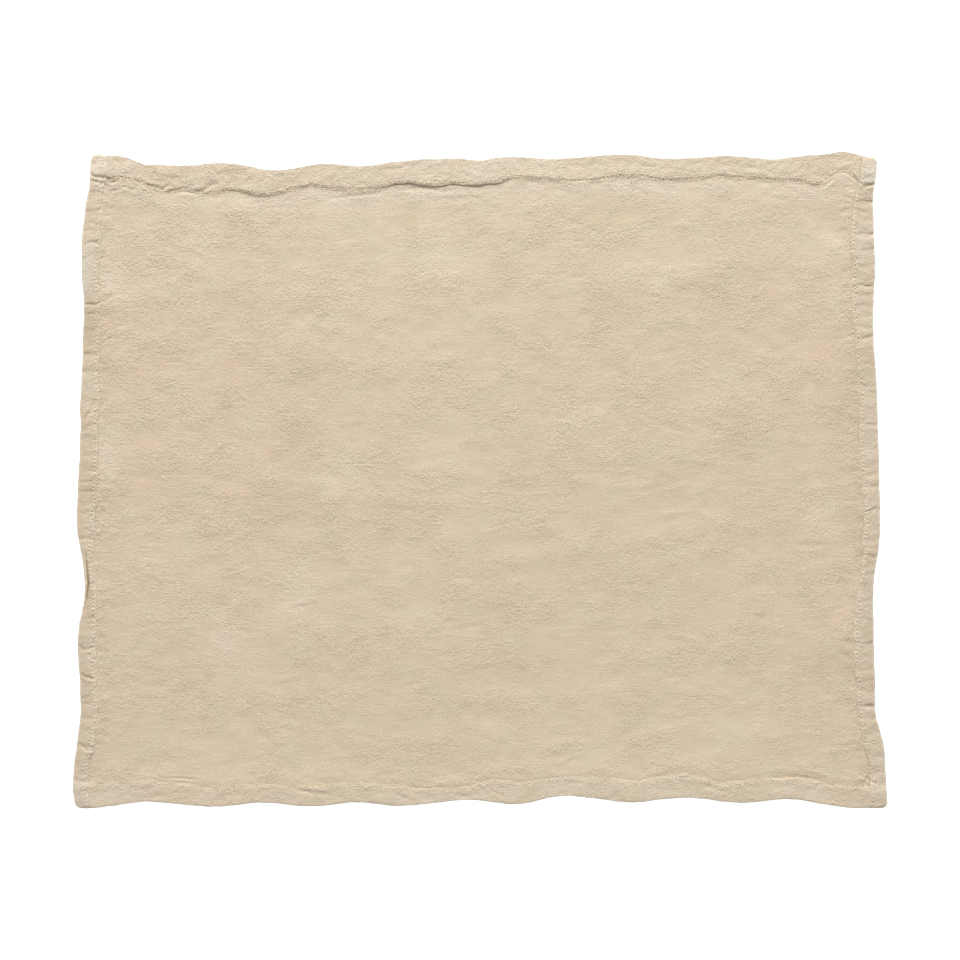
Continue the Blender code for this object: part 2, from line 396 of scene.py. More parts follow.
# Sharper creases: at the corners, along the lips and across the hems
CREASES = table(
    Crease,
    # The left end of the back hem, and the corner there
    (0.8, -0.65, ((-244.3, 192.3), (-242.4, 191), (-239.9, 190.1), (-236.8, 189.4), (-234.2, 190.1))),
    (0.6, -0.65, ((-243, 188.2), (-239.3, 186.9), (-235.5, 186.3), (-234.2, 185.3))),
    (0.55, -0.59, ((-234.4, 190.1), (-233.6, 187.9), (-232.3, 189.4))),
    (0.75, -0.8, ((-232.3, 187.2), (-230.5, 186.6), (-228.6, 187.2), (-226.7, 188.5), (-225.4, 189.7))),
    (0.55, -0.45, ((-225.4, 189.7), (-223.5, 190.1), (-221.7, 188.2), (-219.8, 188.8))),
    (0.5, -0.45, ((-222.6, 192.9), (-221.4, 191.3))),
    (0.55, -0.45, ((-213, 189.3), (-211.8, 187.8), (-211.4, 185.1))),
    (0.7, -0.45, ((-229.8, 181.2), (-226, 182.1), (-222.9, 184.2))),
    (0.65, -0.45, ((-221.8, 183.8), (-218.5, 182.5), (-215.1, 183.4), (-212.4, 185.5))),
    (0.7, -0.78, (
        (-211.4, 183.7), (-209.1, 184.7), (-204.7, 184.4), (-202.8, 183.8), (-200.3, 182.8),
        (-197.8, 182.5), (-195.9, 183.8), (-194, 184.7), (-191.5, 184.1),
    )),
    (0.75, -0.65, (
        (-197.8, 180.9), (-195.9, 180.1), (-193.4, 180.3), (-192.1, 181.9), (-189.6, 180),
        (-187.7, 181.6), (-185.8, 180.7),
    )),
    (0.85, -0.78, (
        (-186.1, 183.1), (-183.9, 181.9), (-181.4, 180.9), (-175.1, 180.9), (-172.6, 182.2),
        (-170.7, 183.8), (-168.2, 185.3), (-165.3, 185.3),
    )),
    (0.6, -0.45, ((-204.4, 192.1), (-202.9, 190.2))), (0.9, -0.33, ((-191.5, 190.1), (-187.6, 187.5))),
    (0.9, -0.33, ((-168.2, 195.1), (-164.4, 191.3))),
    # Under the back hem, where the cloth is pinched a second time
    (0.9, -0.3, ((-90.9, 176.9), (-80.2, 178.1), (-67, 179.6), (-53.1, 183.8))),
    (1.2, -0.3, ((-48.7, 182.5), (-34.3, 182.8), (-21.1, 181.6), (-6, 182.2))),
    # The right end of the back hem
    (0.8, -0.75, ((227.9, 193.8), (230.5, 192.9), (233, 191.6), (234.9, 190.4))),
    (0.6, -0.5, ((234.9, 190.4), (236.1, 188.5), (238, 186.3), (240.5, 183.1), (244, 181.3))),
    (0.85, -1, ((242.1, 184.1), (244.3, 184.5), (246.2, 185), (248.6, 185.3))),
    (0.5, -0.4, ((240.2, 187.5), (241.8, 188.5), (243.4, 188.5))),
    (0.6, -0.4, ((233.6, 182.2), (235.2, 183.8), (236.4, 184.4))),
    (0.8, -0.3, ((238, 193.2), (239.9, 196.3), (239.3, 200.1))),
    (0.8, -0.35, ((222.2, 190.3), (221, 187.1), (217.6, 184.9))),
    (0.8, -0.3, ((224.2, 180), (228.6, 178.7))), (0.8, -0.35, ((229.8, 178.1), (234.2, 176.9))),
    (0.7, -0.3, ((226.7, 175.6), (231.1, 174.3))),
    # The front hem
    (0.7, -0.38, ((-208.5, -183.6), (-203.4, -186.1), (-197.8, -187.1), (-178.9, -187.8))),
    (0.7, -0.32, ((99.7, -189.9), (107.2, -186.8), (115.4, -185.2), (124.2, -185.8), (132.4, -186.8))),
    (0.7, -0.42, ((184.6, -187.4), (192.7, -186.8), (201.5, -186.8), (212.2, -188.6), (222.3, -191.8))),
    (0.7, -0.4, ((-4.7, -184.9), (0.3, -188.6), (6.6, -194.3), (14.8, -199.3))),
    (0.6, -0.35, ((-6, -189), (-1.5, -191.5), (2.5, -195.2))),
    # The front corner on the right
    (0.7, -0.6, ((238, -186.1), (243.7, -188), (246.8, -183))),
    (0.7, -0.5, ((240.5, -193), (243.7, -188), (249.3, -190.5))),
    (0.6, -0.45, ((243.6, -181.5), (244.2, -187.6), (244.6, -194))),
    # The left hem, from its middle forwards, and one above
    (0.8, -0.6, ((-241.6, 49), (-244.9, 43.4), (-247.6, 37.1))),
    (0.6, -0.45, ((-240.4, 28.9), (-240.8, 22.6), (-240.5, 15.7))),
    (0.7, -0.45, ((-250.1, -121.8), (-248.3, -124.2), (-243.5, -124.8))),
    (0.8, -0.5, ((-251.3, -103.9), (-249.5, -107.5), (-243.5, -105.6))),
    (0.8, -0.45, ((-250.7, -166.3), (-248.3, -168.1), (-246.5, -170.4))),
    (0.9, -0.5, ((-249.1, 110.2), (-240.8, 109.5), (-234.9, 111.9), (-231.3, 114.9))),
    (0.7, -0.22, ((-249.1, 145.9), (-247.9, 148.4), (-244.4, 148.7), (-239.6, 147.8))),
    # The right hem
    (0.6, -0.4, ((238, 35.2), (238.4, 24.5))), (0.6, -0.4, ((241.2, -25.2), (241.5, -39.6))),
    # Long shallow ones on the two end hems
    (1.4, -0.2, ((-60, 194.5), (-38, 197))), (1.4, -0.22, ((60, 196), (84, 198.5))),
    (1.4, -0.22, ((150, 198), (176, 195.5))), (1.3, -0.25, ((-170, 190), (-150, 194))),
    (1.3, -0.22, ((-120, -194), (-96, -198))), (1.3, -0.25, ((140, -192), (158, -197))),
)


class Patch(NamedTuple):
    """A soft patch of the cloth, painted paler or darker and greyer, in millimetres.

    `x` and `y` are its middle, `half_x` and `half_y` its half widths, `tone` is from -1 for painted
    shade to 1 for painted light, and `grey` is how far its colour has gone, 0 to 1.
    """

    x: float
    y: float
    half_x: float
    half_y: float
    tone: float
    grey: float = 0.0


# Painted light and shade on the panel: darker and paler patches that stand in for the shading of its broad
# swells and creases
PANEL_PATCHES = table(
    Patch,
    (-238, 107, 16, 8, -1), (-240, 72, 14, 11, -0.7), (-195, 3, 26, 9, -0.5), (-160, 47, 9, 13, -0.6),
    (-147, 157, 10, 8, -0.4), (-150, 113, 16, 6, -0.5), (-107, 72, 13, 8, -0.8), (-113, 31, 9, 13, -0.8),
    (-129, -16, 22, 12, -0.7), (-53, -20, 26, 6, -0.5), (-47, 163, 11, 6, -0.5), (13, 126, 13, 20, -0.4),
    (82, 167, 20, 12, -0.6), (79, 107, 22, 11, -0.6), (151, 116, 25, 13, -0.7), (205, 100, 15, 6, -0.6),
    (233, 50, 11, 19, -0.7), (164, 28, 10, 10, -0.6), (117, 0, 11, 8, -0.6), (51, 0, 22, 9, -0.5),
    (170, -31, 11, 12, -0.5), (241, -31, 9, 16, -0.9), (220, -113, 30, 9, -1), (161, -116, 11, 11, -0.7),
    (104, -132, 7, 7, -0.6), (22, -123, 22, 8, -0.4), (13, -82, 11, 16, -0.4), (-104, -44, 9, 6, -0.5),
    (-176, -123, 18, 6, -0.3), (-207, -189, 34, 4, -0.5), (-230, -9, 10, 9, -0.6),
    (-40, -170, 60, 14, -0.2), (95, -60, 40, 6, -0.3), (-200, 140, 14, 9, -0.2), (0, -165, 260, 18, 0.24),
    (0, 150, 260, 45, 0.26), (-231, 126, 15, 15, 1), (-236, 16, 10, 14, 0.8), (-91, 3, 22, 11, 0.6),
    (-22, 13, 19, 9, 0.6), (-182, 145, 15, 8, 0.5), (-94, 170, 19, 8, 0.5), (-28, 138, 19, 11, 0.5),
    (95, 185, 23, 5, 0.8), (113, 126, 19, 11, 0.4), (220, 145, 15, 8, 0.6), (157, 60, 11, 11, 0.5),
    (66, 41, 11, 11, 0.5), (-116, -75, 15, 18, 0.7), (-151, -107, 14, 20, 0.7), (-41, -88, 15, 11, 0.5),
    (157, -154, 22, 11, 0.5), (217, -25, 12, 8, 0.7), (120, -44, 22, 6, 0.4), (38, -19, 11, 8, 0.4),
    (-213, -60, 24, 30, 0.2), (-150, 195, 22, 6, 0.3),
)

# Patches of the hems, painted paler or darker as light and shade and some of them greyer, and how
# grey the cloth of each hem has washed all over
HEM_PATCHES = by_side(
    back=table(
        Patch,
        (20, 195, 70, 8, 0.35), (-130, 190, 60, 9, -0.25), (-226, 198, 14, 8, 0.3),
        (140, 195, 90, 8, 0.25), (0, 195, 60, 8, 0.15),
    ),
    front=table(Patch, (-113, -197, 60, 8, -0.1), (0, -197, 400, 20, 0.24)),
    left=table(
        Patch,
        (-237, 197, 12, 10, 1.35, 0.46), (-248, 135, 7, 18, 0.15, 0.8), (-243, 103, 12, 18, -1.3),
        (-241, -7, 12, 9, -1.2), (-248, -196, 12, 11, -0.2, 0.4), (-244, 60, 12, 10, -0.1, 0.2),
        (-240, 22, 12, 14, -0.2), (-250, -120, 6, 45, -0.45),
    ),
    right=table(
        Patch,
        (246, 194, 8, 9, 0.7, 0.65), (248, -195, 12, 9, 0.4, 0.35), (241, 60, 12, 20, -0.4),
        (248, -95, 8, 50, -0.6, 0.1),
    ),
)
HEM_GREY = by_side(0.22, 0.18, 0.19, 0.27)

# How creased each hem's fine grain is, about 0 to 1, and how much more so beside its seam
HEM_CRUSH = by_side(1.25, 0.15, 0.05, 0.05)
SEAM_CRUSH = by_side(0.4, 0.6, 2.0, 1.6)

# How plainly each seam's stitches stand out of the cloth
STITCH_SHOW = by_side(0.7, 0.68, 0.86, 0.84)

# How crumpled each hem's face is, by the place along the side in millimetres
CRUMPLING = by_side(
    back={-250: 2.2, -120: 2.3, -90: 1.5, 60: 1.4, 150: 1.6, 200: 2.2, 250: 2.4},
    front={-250: 1.2, -180: 1.4, -120: 1, 180: 1, 250: 1.3},
    left={-205: 1.2, -100: 1.3, 60: 1.3, 100: 1.2, 118: 0.5, 145: 0.4, 156: 1.3, 205: 1.9},
    right={-205: 1.3, -120: 1.4, 40: 1.2, 150: 1.6, 205: 2.2},
)

# From where on across each side hem its puckers fade, as a share of its width
PUCKER_FADE = by_side(1.0, 1.0, 0.75, 0.42)

# The furrow along the left hem's turned-up rim, as (along, inward, depth) in millimetres
TURNED_RIM = (
    (-44, 3, 0), (-49, 2.7, 0.8), (-56.6, 2.4, 1.7), (-64.8, 2.4, 2), (-69.2, 2.1, 2), (-77, 1.4, 1.4),
    (-84, 1, 0),
)


# ---- Formulas ----


def smooth_step(t: Array) -> Array:
    """0 to 1 as t goes from 0 to 1, level at both ends: t^2 (3 - 2t)."""
    t = np.clip(t, 0.0, 1.0)
    return t * t * (3 - 2 * t)


def clustered_shares(count: int, density: Line) -> Array:
    """Numbers from 0 to 1 that lie closer together where a density is high.

    They divide the area under the density evenly.

    Args:
        count: how many numbers.
        density: how close they are at each place from 0 to 1, to any scale.

    Returns:
        The numbers, in rising order.
    """
    fine = np.linspace(0.0, 1.0, DENSITY_STEPS)
    tall = density(fine)
    area = np.concatenate([[0.0], np.cumsum((tall[1:] + tall[:-1]) / 2)])
    return np.interp(np.linspace(0.0, area[-1], count), area, fine)


def bell(distance: Array, width: float | Array) -> Array:
    """A soft hump of 1 at no distance, exp(-(distance / width)^2)."""
    return np.exp(-((distance / width) ** 2))


def corner_value(column: Array, row: Array, seed: float) -> Array:
    """A fixed random number from -1 to 1 for each lattice corner: the fraction of a large sine."""
    mixed = np.sin(column * 127.1 + row * 311.7 + seed * 74.7) * 43758.5453
    return 2.0 * (mixed - np.floor(mixed)) - 1.0


def lattice_noise(x: Array, y: Array, pitch_x: float, pitch_y: float, seed: float) -> Array:
    """Smooth random hills from -1 to 1, about one pitch across.

    Each lattice cell blends its four corners' values with t^3 (6t^2 - 15t + 10) both ways. The
    lattice is turned by an angle of its own, so that cells of several sizes never line up.

    Args:
        x, y: the points' places.
        pitch_x: the lattice's pitch along its first axis, in millimetres.
        pitch_y: the pitch along its second axis.
        seed: a number that gives each lattice its own values and turn.

    Returns:
        The hills' heights, in the shape of x.
    """
    turn = 0.35 * math.sin(seed * 2.4)
    across = (x * math.cos(turn) + y * math.sin(turn)) / (pitch_x * MM)
    up = (y * math.cos(turn) - x * math.sin(turn)) / (pitch_y * MM)
    column, row = np.floor(across), np.floor(up)
    u, v = across - column, up - row
    u = u**3 * (u * (6 * u - 15) + 10)
    v = v**3 * (v * (6 * v - 15) + 10)
    near = corner_value(column, row, seed) * (1 - u) + corner_value(column + 1, row, seed) * u
    far = corner_value(column, row + 1, seed) * (1 - u) + corner_value(column + 1, row + 1, seed) * u
    return near * (1 - v) + far * v


def noise_sum(x: Array, y: Array, rows: Sequence[Row], seed: int) -> Array:
    """The sum of several smooth noises.

    Args:
        x, y: the points' places.
        rows: for each noise its strength, its two pitches in millimetres and its number.
        seed: what is added to each noise's number to give its seed.

    Returns:
        The sums, in the shape of x.
    """
    total = np.zeros_like(x)
    for strength, pitch_x, pitch_y, number in rows:
        total += strength * lattice_noise(x, y, pitch_x, pitch_y, seed + number)
    return total


def distance_to_line(x: Array, y: Array, points: Sequence[Point]) -> Array:
    """How far each point is from a bent line, the least of its distances to the line's parts.

    Args:
        x, y: the points' places.
        points: the line's ends and bends, in millimetres.

    Returns:
        The distances.
    """
    away = []
    for (x0, y0), (x1, y1) in zip(points, points[1:]):
        run_x, run_y = (x1 - x0) * MM, (y1 - y0) * MM
        off_x, off_y = x - x0 * MM, y - y0 * MM
        share = np.clip((off_x * run_x + off_y * run_y) / (run_x**2 + run_y**2), 0.0, 1.0)
        away.append(np.hypot(off_x - share * run_x, off_y - share * run_y))
    return np.minimum.reduce(away)


def swell_rise(x: Array, y: Array, swells: Sequence[Crease]) -> Array:
    """The soft rise of swells at each point: a raised cosine that ends at the swell's width.

    Args:
        x, y: the points' places.
        swells: the ridges and troughs.

    Returns:
        The sum of their rises.
    """
    rise = np.zeros_like(x)
    for swell in swells:
        share = np.minimum(distance_to_line(x, y, swell.points) / (swell.width * MM), 1.0)
        rise += swell.rise * MM * (0.5 + 0.5 * np.cos(math.pi * share))
    return rise


def furrow_rise(x: Array, y: Array, creases: Sequence[Crease]) -> Array:
    """The rise of sharp creases: a bell at the line, less a lower bell on each side of it.

    The shoulders give back part of the depth, as creased cloth does. Noise sways the lines and
    makes the depth uneven.

    Args:
        x, y: the points' places.
        creases: the creases.

    Returns:
        The sum of their rises.
    """
    rise = np.zeros_like(x)
    swayed_x = x + CREASE_SWAY * lattice_noise(x, y, 6, 6, 61)
    swayed_y = y + CREASE_SWAY * lattice_noise(x, y, 5, 5, 62)
    for crease in creases:
        width = crease.width * MM
        corners = np.array(crease.points) * MM
        low, high = corners.min(axis=0) - 5 * width, corners.max(axis=0) + 5 * width
        close = (x > low[0]) & (x < high[0]) & (y > low[1]) & (y < high[1])
        away = distance_to_line(swayed_x[close], swayed_y[close], crease.points)
        shape = bell(away, width) - SHOULDER_SHARE * bell(away - SHOULDER_PLACE * width, width)
        rise[close] += crease.rise * MM * shape
    return rise * (0.85 + 0.35 * lattice_noise(x, y, 7, 7, 63))


def patch_share(x: Array, y: Array, patch: Patch) -> Array:
    """How far each point lies in a patch: a bell in x and y, 1 at its middle."""
    off_x, off_y = (x - patch.x * MM) / (patch.half_x * MM), (y - patch.y * MM) / (patch.half_y * MM)
    return np.exp(-(off_x**2 + off_y**2))


def drawn_share(inward: Array, reach: float) -> Array:
    """How far cloth is drawn up by a fold: 1 at it, and 0 at its seam and at the reach inside it."""
    return 1 - smooth_step(np.where(inward < 0, -inward / SEAM_INSET, inward / reach))


# ---- Meshes ----


def signed_volume(points: Array, faces: Sequence[Sequence[int]]) -> float:
    """The volume inside a closed mesh, negative if its faces point inwards.

    Each face is a fan of triangles from its first corner, and each triangle adds a sixth of the
    triple product of its corners.

    Args:
        points: the mesh's points, one row each.
        faces: the corner numbers of each face.

    Returns:
        The volume in cubic metres.
    """
    total = 0.0
    for count in sorted({len(face) for face in faces}):
        corners = np.array([face for face in faces if len(face) == count])
        for i in range(1, count - 1):
            a, b, c = (points[corners[:, k]] for k in (0, i, i + 1))
            total += float(np.einsum("ij,ij->i", a, np.cross(b, c)).sum()) / 6
    return total


def ring_faces(rings: int, sides: int) -> Array:
    """The quadrilaterals of a tube whose points are numbered ring by ring.

    Args:
        rings: how many rings of points it has.
        sides: how many points each ring has.

    Returns:
        One row of four corner numbers for each face.
    """
    ring, side = np.meshgrid(np.arange(rings - 1), np.arange(sides), indexing="ij")
    following = (side + 1) % sides
    faces = [ring * sides + side, ring * sides + following]
    faces += [(ring + 1) * sides + following, (ring + 1) * sides + side]
    return np.stack(faces, axis=-1).reshape(-1, 4)


def grid_faces(columns: int, rows: int) -> Array:
    """The quadrilaterals of a flat grid whose points are numbered column by column.

    Args:
        columns: how many columns of points it has.
        rows: how many rows.

    Returns:
        One row of four corner numbers for each face.
    """
    column, row = np.meshgrid(np.arange(columns - 1), np.arange(rows - 1), indexing="ij")
    first = column * rows + row
    return np.stack([first, first + rows, first + rows + 1, first + 1], axis=-1).reshape(-1, 4)


def add_object(name: str, data: bpy.types.ID) -> bpy.types.Object:
    """Puts a mesh, a light or a camera into the scene.

    Args:
        name: the object's name.
        data: what it shows.

    Returns:
        The new object, at the origin.
    """
    thing = bpy.data.objects.new(name, data)
    bpy.context.scene.collection.objects.link(thing)
    return thing


def add_piece(
    name: str, points: Array, faces: list[list[int]], uv: Array, wear_and_shade: Array, material: Material
) -> bpy.types.Object:
    """Puts a closed surface into the scene as one smooth mesh, its faces pointing outwards.

    Args:
        name: the piece's name.
        points: its points, in the frame of the solid.
        faces: the corner numbers of its faces.
        uv: for each point, its place in the cloth.
        wear_and_shade: for each point its tone, from -1 for dark to 1 for pale, which holds painted light and
        shade as well as the cloth's own uneven tone, how creased its fine grain is and how grey it is,
        both 0 to 1.
        material: its finish.

    Returns:
        The new object, at the origin, unturned and unscaled.
    """
    if signed_volume(points, faces) < 0:
        faces = [face[::-1] for face in faces]
    mesh = bpy.data.meshes.new(name)
    mesh.from_pydata(points.tolist(), [], faces)
    mesh.shade_smooth()
    corners = np.empty(len(mesh.loops), np.int32)
    mesh.loops.foreach_get("vertex_index", corners)
    layer = mesh.uv_layers.new(name=UV_NAME)
    layer.uv.foreach_set("vector", uv[corners].astype(np.float32).ravel())
    attribute = mesh.attributes.new(WEAR_AND_SHADE_NAME, "FLOAT_VECTOR", "POINT")
    attribute.data.foreach_set("vector", wear_and_shade.astype(np.float32).ravel())
    mesh.materials.append(material)
    mesh.update()
    return add_object(name, mesh)


# ---- Finishes ----


class NodeSheet:
    """Adds shader nodes to a material and wires them."""

    def __init__(self, material: Material) -> None:
        """Starts on a material's own nodes.

        Args:
            material: the new material.
        """
        material.use_nodes = True
        self.tree = material.node_tree
        self.shader = self.tree.nodes["Principled BSDF"]

    @cached_property
    def cloth(self) -> Socket:
        """Each point's place in the cloth, in metres."""
        return self.add("ShaderNodeUVMap", {}, uv_map=UV_NAME).outputs["UV"]

    def add(self, kind: str, inputs: dict, **settings: object) -> bpy.types.Node:
        """One node.

        Args:
            kind: Blender's name for the node's type.
            inputs: for some of its sockets, by name or number, a value or another node's socket.
            settings: the node's own properties.

        Returns:
            The node.
        """
        node = self.tree.nodes.new(kind)
        for name, value in settings.items():
            setattr(node, name, value)
        for socket, value in inputs.items():
            self.feed(node, socket, value)
        return node

    def feed(self, node: bpy.types.Node, socket: str | int, value: object) -> None:
        """Links a socket to another one, or sets its value.

        Args:
            node: the node that has the socket.
            socket: its name or number.
            value: another node's socket, or a plain value.
        """
        if isinstance(value, Socket):
            self.tree.links.new(value, node.inputs[socket])
        else:
            node.inputs[socket].default_value = value

    def dress(self, looks: dict) -> None:
        """Feeds the shader, by the names of its sockets."""
        for name, value in looks.items():
            self.feed(self.shader, name, value)

    def math(self, operation: str, *values: object) -> Socket:
        """The result of a sum on one, two or three values."""
        return self.add("ShaderNodeMath", dict(enumerate(values)), operation=operation).outputs[0]

    def parts(self, vector: object) -> Sequence[Socket]:
        """The three components of a vector."""
        return self.add("ShaderNodeSeparateXYZ", {"Vector": vector}).outputs

    def noise(self, vector: object, scale: float, detail: float = 2.0) -> Socket:
        """Soft noise of about 0 to 1, so many hills to the metre."""
        inputs = {"Vector": vector, "Scale": scale, "Detail": detail, "Roughness": 0.55}
        return self.add("ShaderNodeTexNoise", inputs, noise_dimensions="2D").outputs["Fac"]

    def stretched(self, along: float, across: float, slide: float) -> Socket:
        """Cloth coordinates scaled unevenly and slid, so that a pattern on them is drawn out."""
        inputs = {"Vector": self.cloth, "Scale": (along, across, 1.0), "Location": (slide, slide * 0.7, 0.0)}
        return self.add("ShaderNodeMapping", inputs).outputs["Vector"]

    def ramp(self, value: object, low: float, high: float) -> Socket:
        """0 below the low value, 1 above the high one, and a smooth step between."""
        inputs = {"Value": value, "From Min": low, "From Max": high}
        return self.add("ShaderNodeMapRange", inputs, interpolation_type="SMOOTHSTEP").outputs[0]

    def mix(self, factor: object, first: object, second: object) -> Socket:
        """A colour between two colours."""
        return self.add("ShaderNodeMix", {0: factor, 6: first, 7: second}, data_type="RGBA").outputs[2]


@dataclass(frozen=True)
class WashedLinen:
    """Undyed linen after washing: plain weave with slubs, crinkles and a faint uneven tint.

    Sizes are in metres and relief in millimetres. The patterns lie in the cloth's own coordinates:
    the first runs along the mat's length and the second along its depth.
    """

    name: str = "washed_linen"
    sand: Colour = (0.68, 0.557, 0.402, 1.0)
    rose: Colour = (0.693, 0.547, 0.399, 1.0)
    straw: Colour = (0.668, 0.559, 0.394, 1.0)
    # pale is the colour of slubs and of painted light; shade is the colour of the darker mottle and flecks
    # and of painted shade
    pale: Colour = (0.8, 0.7, 0.56, 1.0)
    shade: Colour = (0.5, 0.4, 0.275, 1.0)
    ash: Colour = (0.715, 0.628, 0.502, 1.0)
    # A greyer colour for painted shade where the cloth is grey, as on the outer rolls
    grey_shade: Colour = (0.52, 0.47, 0.4, 1.0)
    roughness_low: float = 0.84
    roughness_high: float = 0.95
    thread_pitch: float = 0.55 * MM
    weave_relief: float = 0.03
    slub_relief: float = 0.035
    nub_relief: float = 0.132
    rumple_relief: float = 0.215
    crinkle_relief: float = 0.204
    fine_relief: float = 0.236
    rumple_crush: float = 0.5  # how much stronger the rumples are where the cloth is most creased
    crinkle_crush: float = 1.0
    fine_crush: float = 0.55
    nub_crush: float = 0.6
    darkening: float = 0.34
    lightening: float = 0.42
    shine: float = 0.25
    sheen: float = 0.12
    sheen_roughness: float = 0.6

    def build(self) -> Material:
        """Wires the nodes.

        Returns:
            The material.
        """
        material = bpy.data.materials.new(self.name)
        sheet = NodeSheet(material)
        wear_and_shade = sheet.add("ShaderNodeAttribute", {}, attribute_name=WEAR_AND_SHADE_NAME).outputs["Vector"]
        tone, crush, grey = sheet.parts(wear_and_shade)
        slubs = self.slubs(sheet)
        sheet.dress(
            {
                "Base Color": self.colour(sheet, slubs, tone, grey),
                "Roughness": self.roughness(sheet),
                "Normal": self.relief(sheet, slubs, crush),
                "Metallic": 0.0,
                "Specular IOR Level": self.shine,
                "Sheen Weight": self.sheen,
                "Sheen Roughness": self.sheen_roughness,
            }
        )
        return material

    def slubs(self, sheet: NodeSheet) -> Socket:
        """Thick places of the yarn: noise drawn out to streaks along the threads.

        Args:
            sheet: the material's nodes.

        Returns:
            A socket, 0 to 1.
        """
        along = sheet.noise(sheet.stretched(70.0, 1150.0, 3.1), 1.0, 1.0)
        across = sheet.noise(sheet.stretched(1150.0, 90.0, 7.7), 1.0, 1.0)
        return sheet.math("MAXIMUM", sheet.ramp(along, 0.56, 0.8), sheet.ramp(across, 0.62, 0.84))

    def colour(self, sheet: NodeSheet, slubs: Socket, tone: Socket, grey: Socket) -> Socket:
        """Sand tinted in patches, the rosier ones towards the mat's two ends, clouded and flecked.

        It is greyer where the attribute says so, paler or darker by its tone, which holds painted light and
        shade as well as the cloth's own uneven tone, and paler on slubs. Where it is both grey and darker,
        as in the painted shade on the outer rolls, it loses its yellow too.

        Args:
            sheet: the material's nodes.
            slubs: where the yarn is thick.
            tone: how much paler or darker the cloth is painted, painted light and shade included.
            grey: how far its colour has gone.

        Returns:
            The base colour's socket.
        """
        place = sheet.add("ShaderNodeTexCoord", {}).outputs["Object"]
        off_middle = sheet.math("ABSOLUTE", sheet.math("SUBTRACT", sheet.parts(place)[0], 0.03))
        blush = sheet.math("MULTIPLY_ADD", sheet.ramp(off_middle, 0.05, 0.25), 0.33, -0.095)
        patches = sheet.noise(sheet.stretched(1.0, 1.1, 1.3), 34.0, 3.0)
        rosy = sheet.ramp(sheet.math("ADD", patches, blush), 0.33, 0.72)
        strawy = sheet.ramp(sheet.noise(sheet.stretched(1.0, 1.1, 5.9), 44.0, 3.0), 0.42, 0.68)
        tint = sheet.mix(strawy, sheet.mix(rosy, self.sand, self.rose), self.straw)
        cloud = sheet.noise(sheet.stretched(1.0, 1.4, 9.2), 60.0, 4.0)
        fleck = sheet.noise(sheet.stretched(1.0, 1.3, 2.2), 900.0, 2.0)
        darker = sheet.math("MULTIPLY", sheet.ramp(cloud, 0.35, 0.75), 0.11)
        darker = sheet.math("MULTIPLY_ADD", sheet.ramp(fleck, 0.42, 0.7), 0.3, darker)
        tint = sheet.mix(grey, sheet.mix(darker, tint, self.shade), self.ash)
        # Painted shade and light: darker by the tone's negative part and paler by its positive part
        dull_and_shade = sheet.math("MAXIMUM", sheet.math("MULTIPLY", tone, -self.darkening), 0.0)
        pale_and_lit = sheet.math("MAXIMUM", sheet.math("MULTIPLY", tone, self.lightening), 0.0)
        paler = sheet.math("MULTIPLY_ADD", slubs, 0.3, pale_and_lit)
        dull_and_shade_colour = sheet.mix(sheet.ramp(grey, 0.3, 0.7), self.shade, self.grey_shade)
        return sheet.mix(paler, sheet.mix(dull_and_shade, tint, dull_and_shade_colour), self.pale)

    def roughness(self, sheet: NodeSheet) -> Socket:
        """Rough all over, with patches that washing has smoothed a little."""
        span = self.roughness_high - self.roughness_low
        return sheet.math("MULTIPLY_ADD", sheet.noise(sheet.cloth, 120.0), span, self.roughness_low)

    def weave(self, sheet: NodeSheet) -> Socket:
        """Threads passing over and under each other.

        It is the product of two sines whose half waves are a thread wide. A low noise bends the
        threads by part of their width, so that no two run quite parallel.

        Args:
            sheet: the material's nodes.

        Returns:
            A socket, -1 to 1.
        """
        bend = sheet.noise(sheet.cloth, 130.0, 3.0)
        turn = math.pi / self.thread_pitch
        waves = []
        for place, sway in zip(sheet.parts(sheet.cloth), (9.0, 7.0)):
            phase = sheet.math("MULTIPLY_ADD", bend, sway, sheet.math("MULTIPLY", place, turn))
            waves.append(sheet.math("SINE", phase))
        return sheet.math("MULTIPLY", *waves)

    def relief(self, sheet: NodeSheet, slubs: Socket, crush: Socket) -> Socket:
        """The surface's fine relief, in millimetres, as a bump: weave, slubs, nubs and crinkles.

        Args:
            sheet: the material's nodes.
            slubs: where the yarn is thick.
            crush: how creased the fine grain is, which makes the crinkles stronger.

        Returns:
            The bumped normal's socket.
        """
        height = sheet.math("MULTIPLY", self.weave(sheet), self.weave_relief)
        height = sheet.math("MULTIPLY_ADD", slubs, self.slub_relief, height)
        nubs = sheet.ramp(sheet.noise(sheet.stretched(1.0, 1.0, 4.9), 1150.0, 1.0), 0.61, 0.8)
        nub = sheet.math("MULTIPLY_ADD", crush, self.nub_relief * self.nub_crush, self.nub_relief)
        height = sheet.math("MULTIPLY_ADD", nubs, nub, height)
        crinkles = (
            (1.15, 6.1, 115.0, 2.0, self.rumple_relief, self.rumple_crush),
            (1.1, 4.4, 330.0, 2.0, self.crinkle_relief, self.crinkle_crush),
            (1.0, 8.6, 850.0, 1.0, self.fine_relief, self.fine_crush),
        )
        for across, slide, scale, detail, relief, gain in crinkles:
            noise = sheet.noise(sheet.stretched(1.0, across, slide), scale, detail)
            strength = sheet.math("MULTIPLY_ADD", crush, relief * gain, relief)
            height = sheet.math("MULTIPLY_ADD", noise, strength, height)
        inputs = {"Strength": 1.0, "Distance": MM, "Height": height}
        return sheet.add("ShaderNodeBump", inputs).outputs["Normal"]


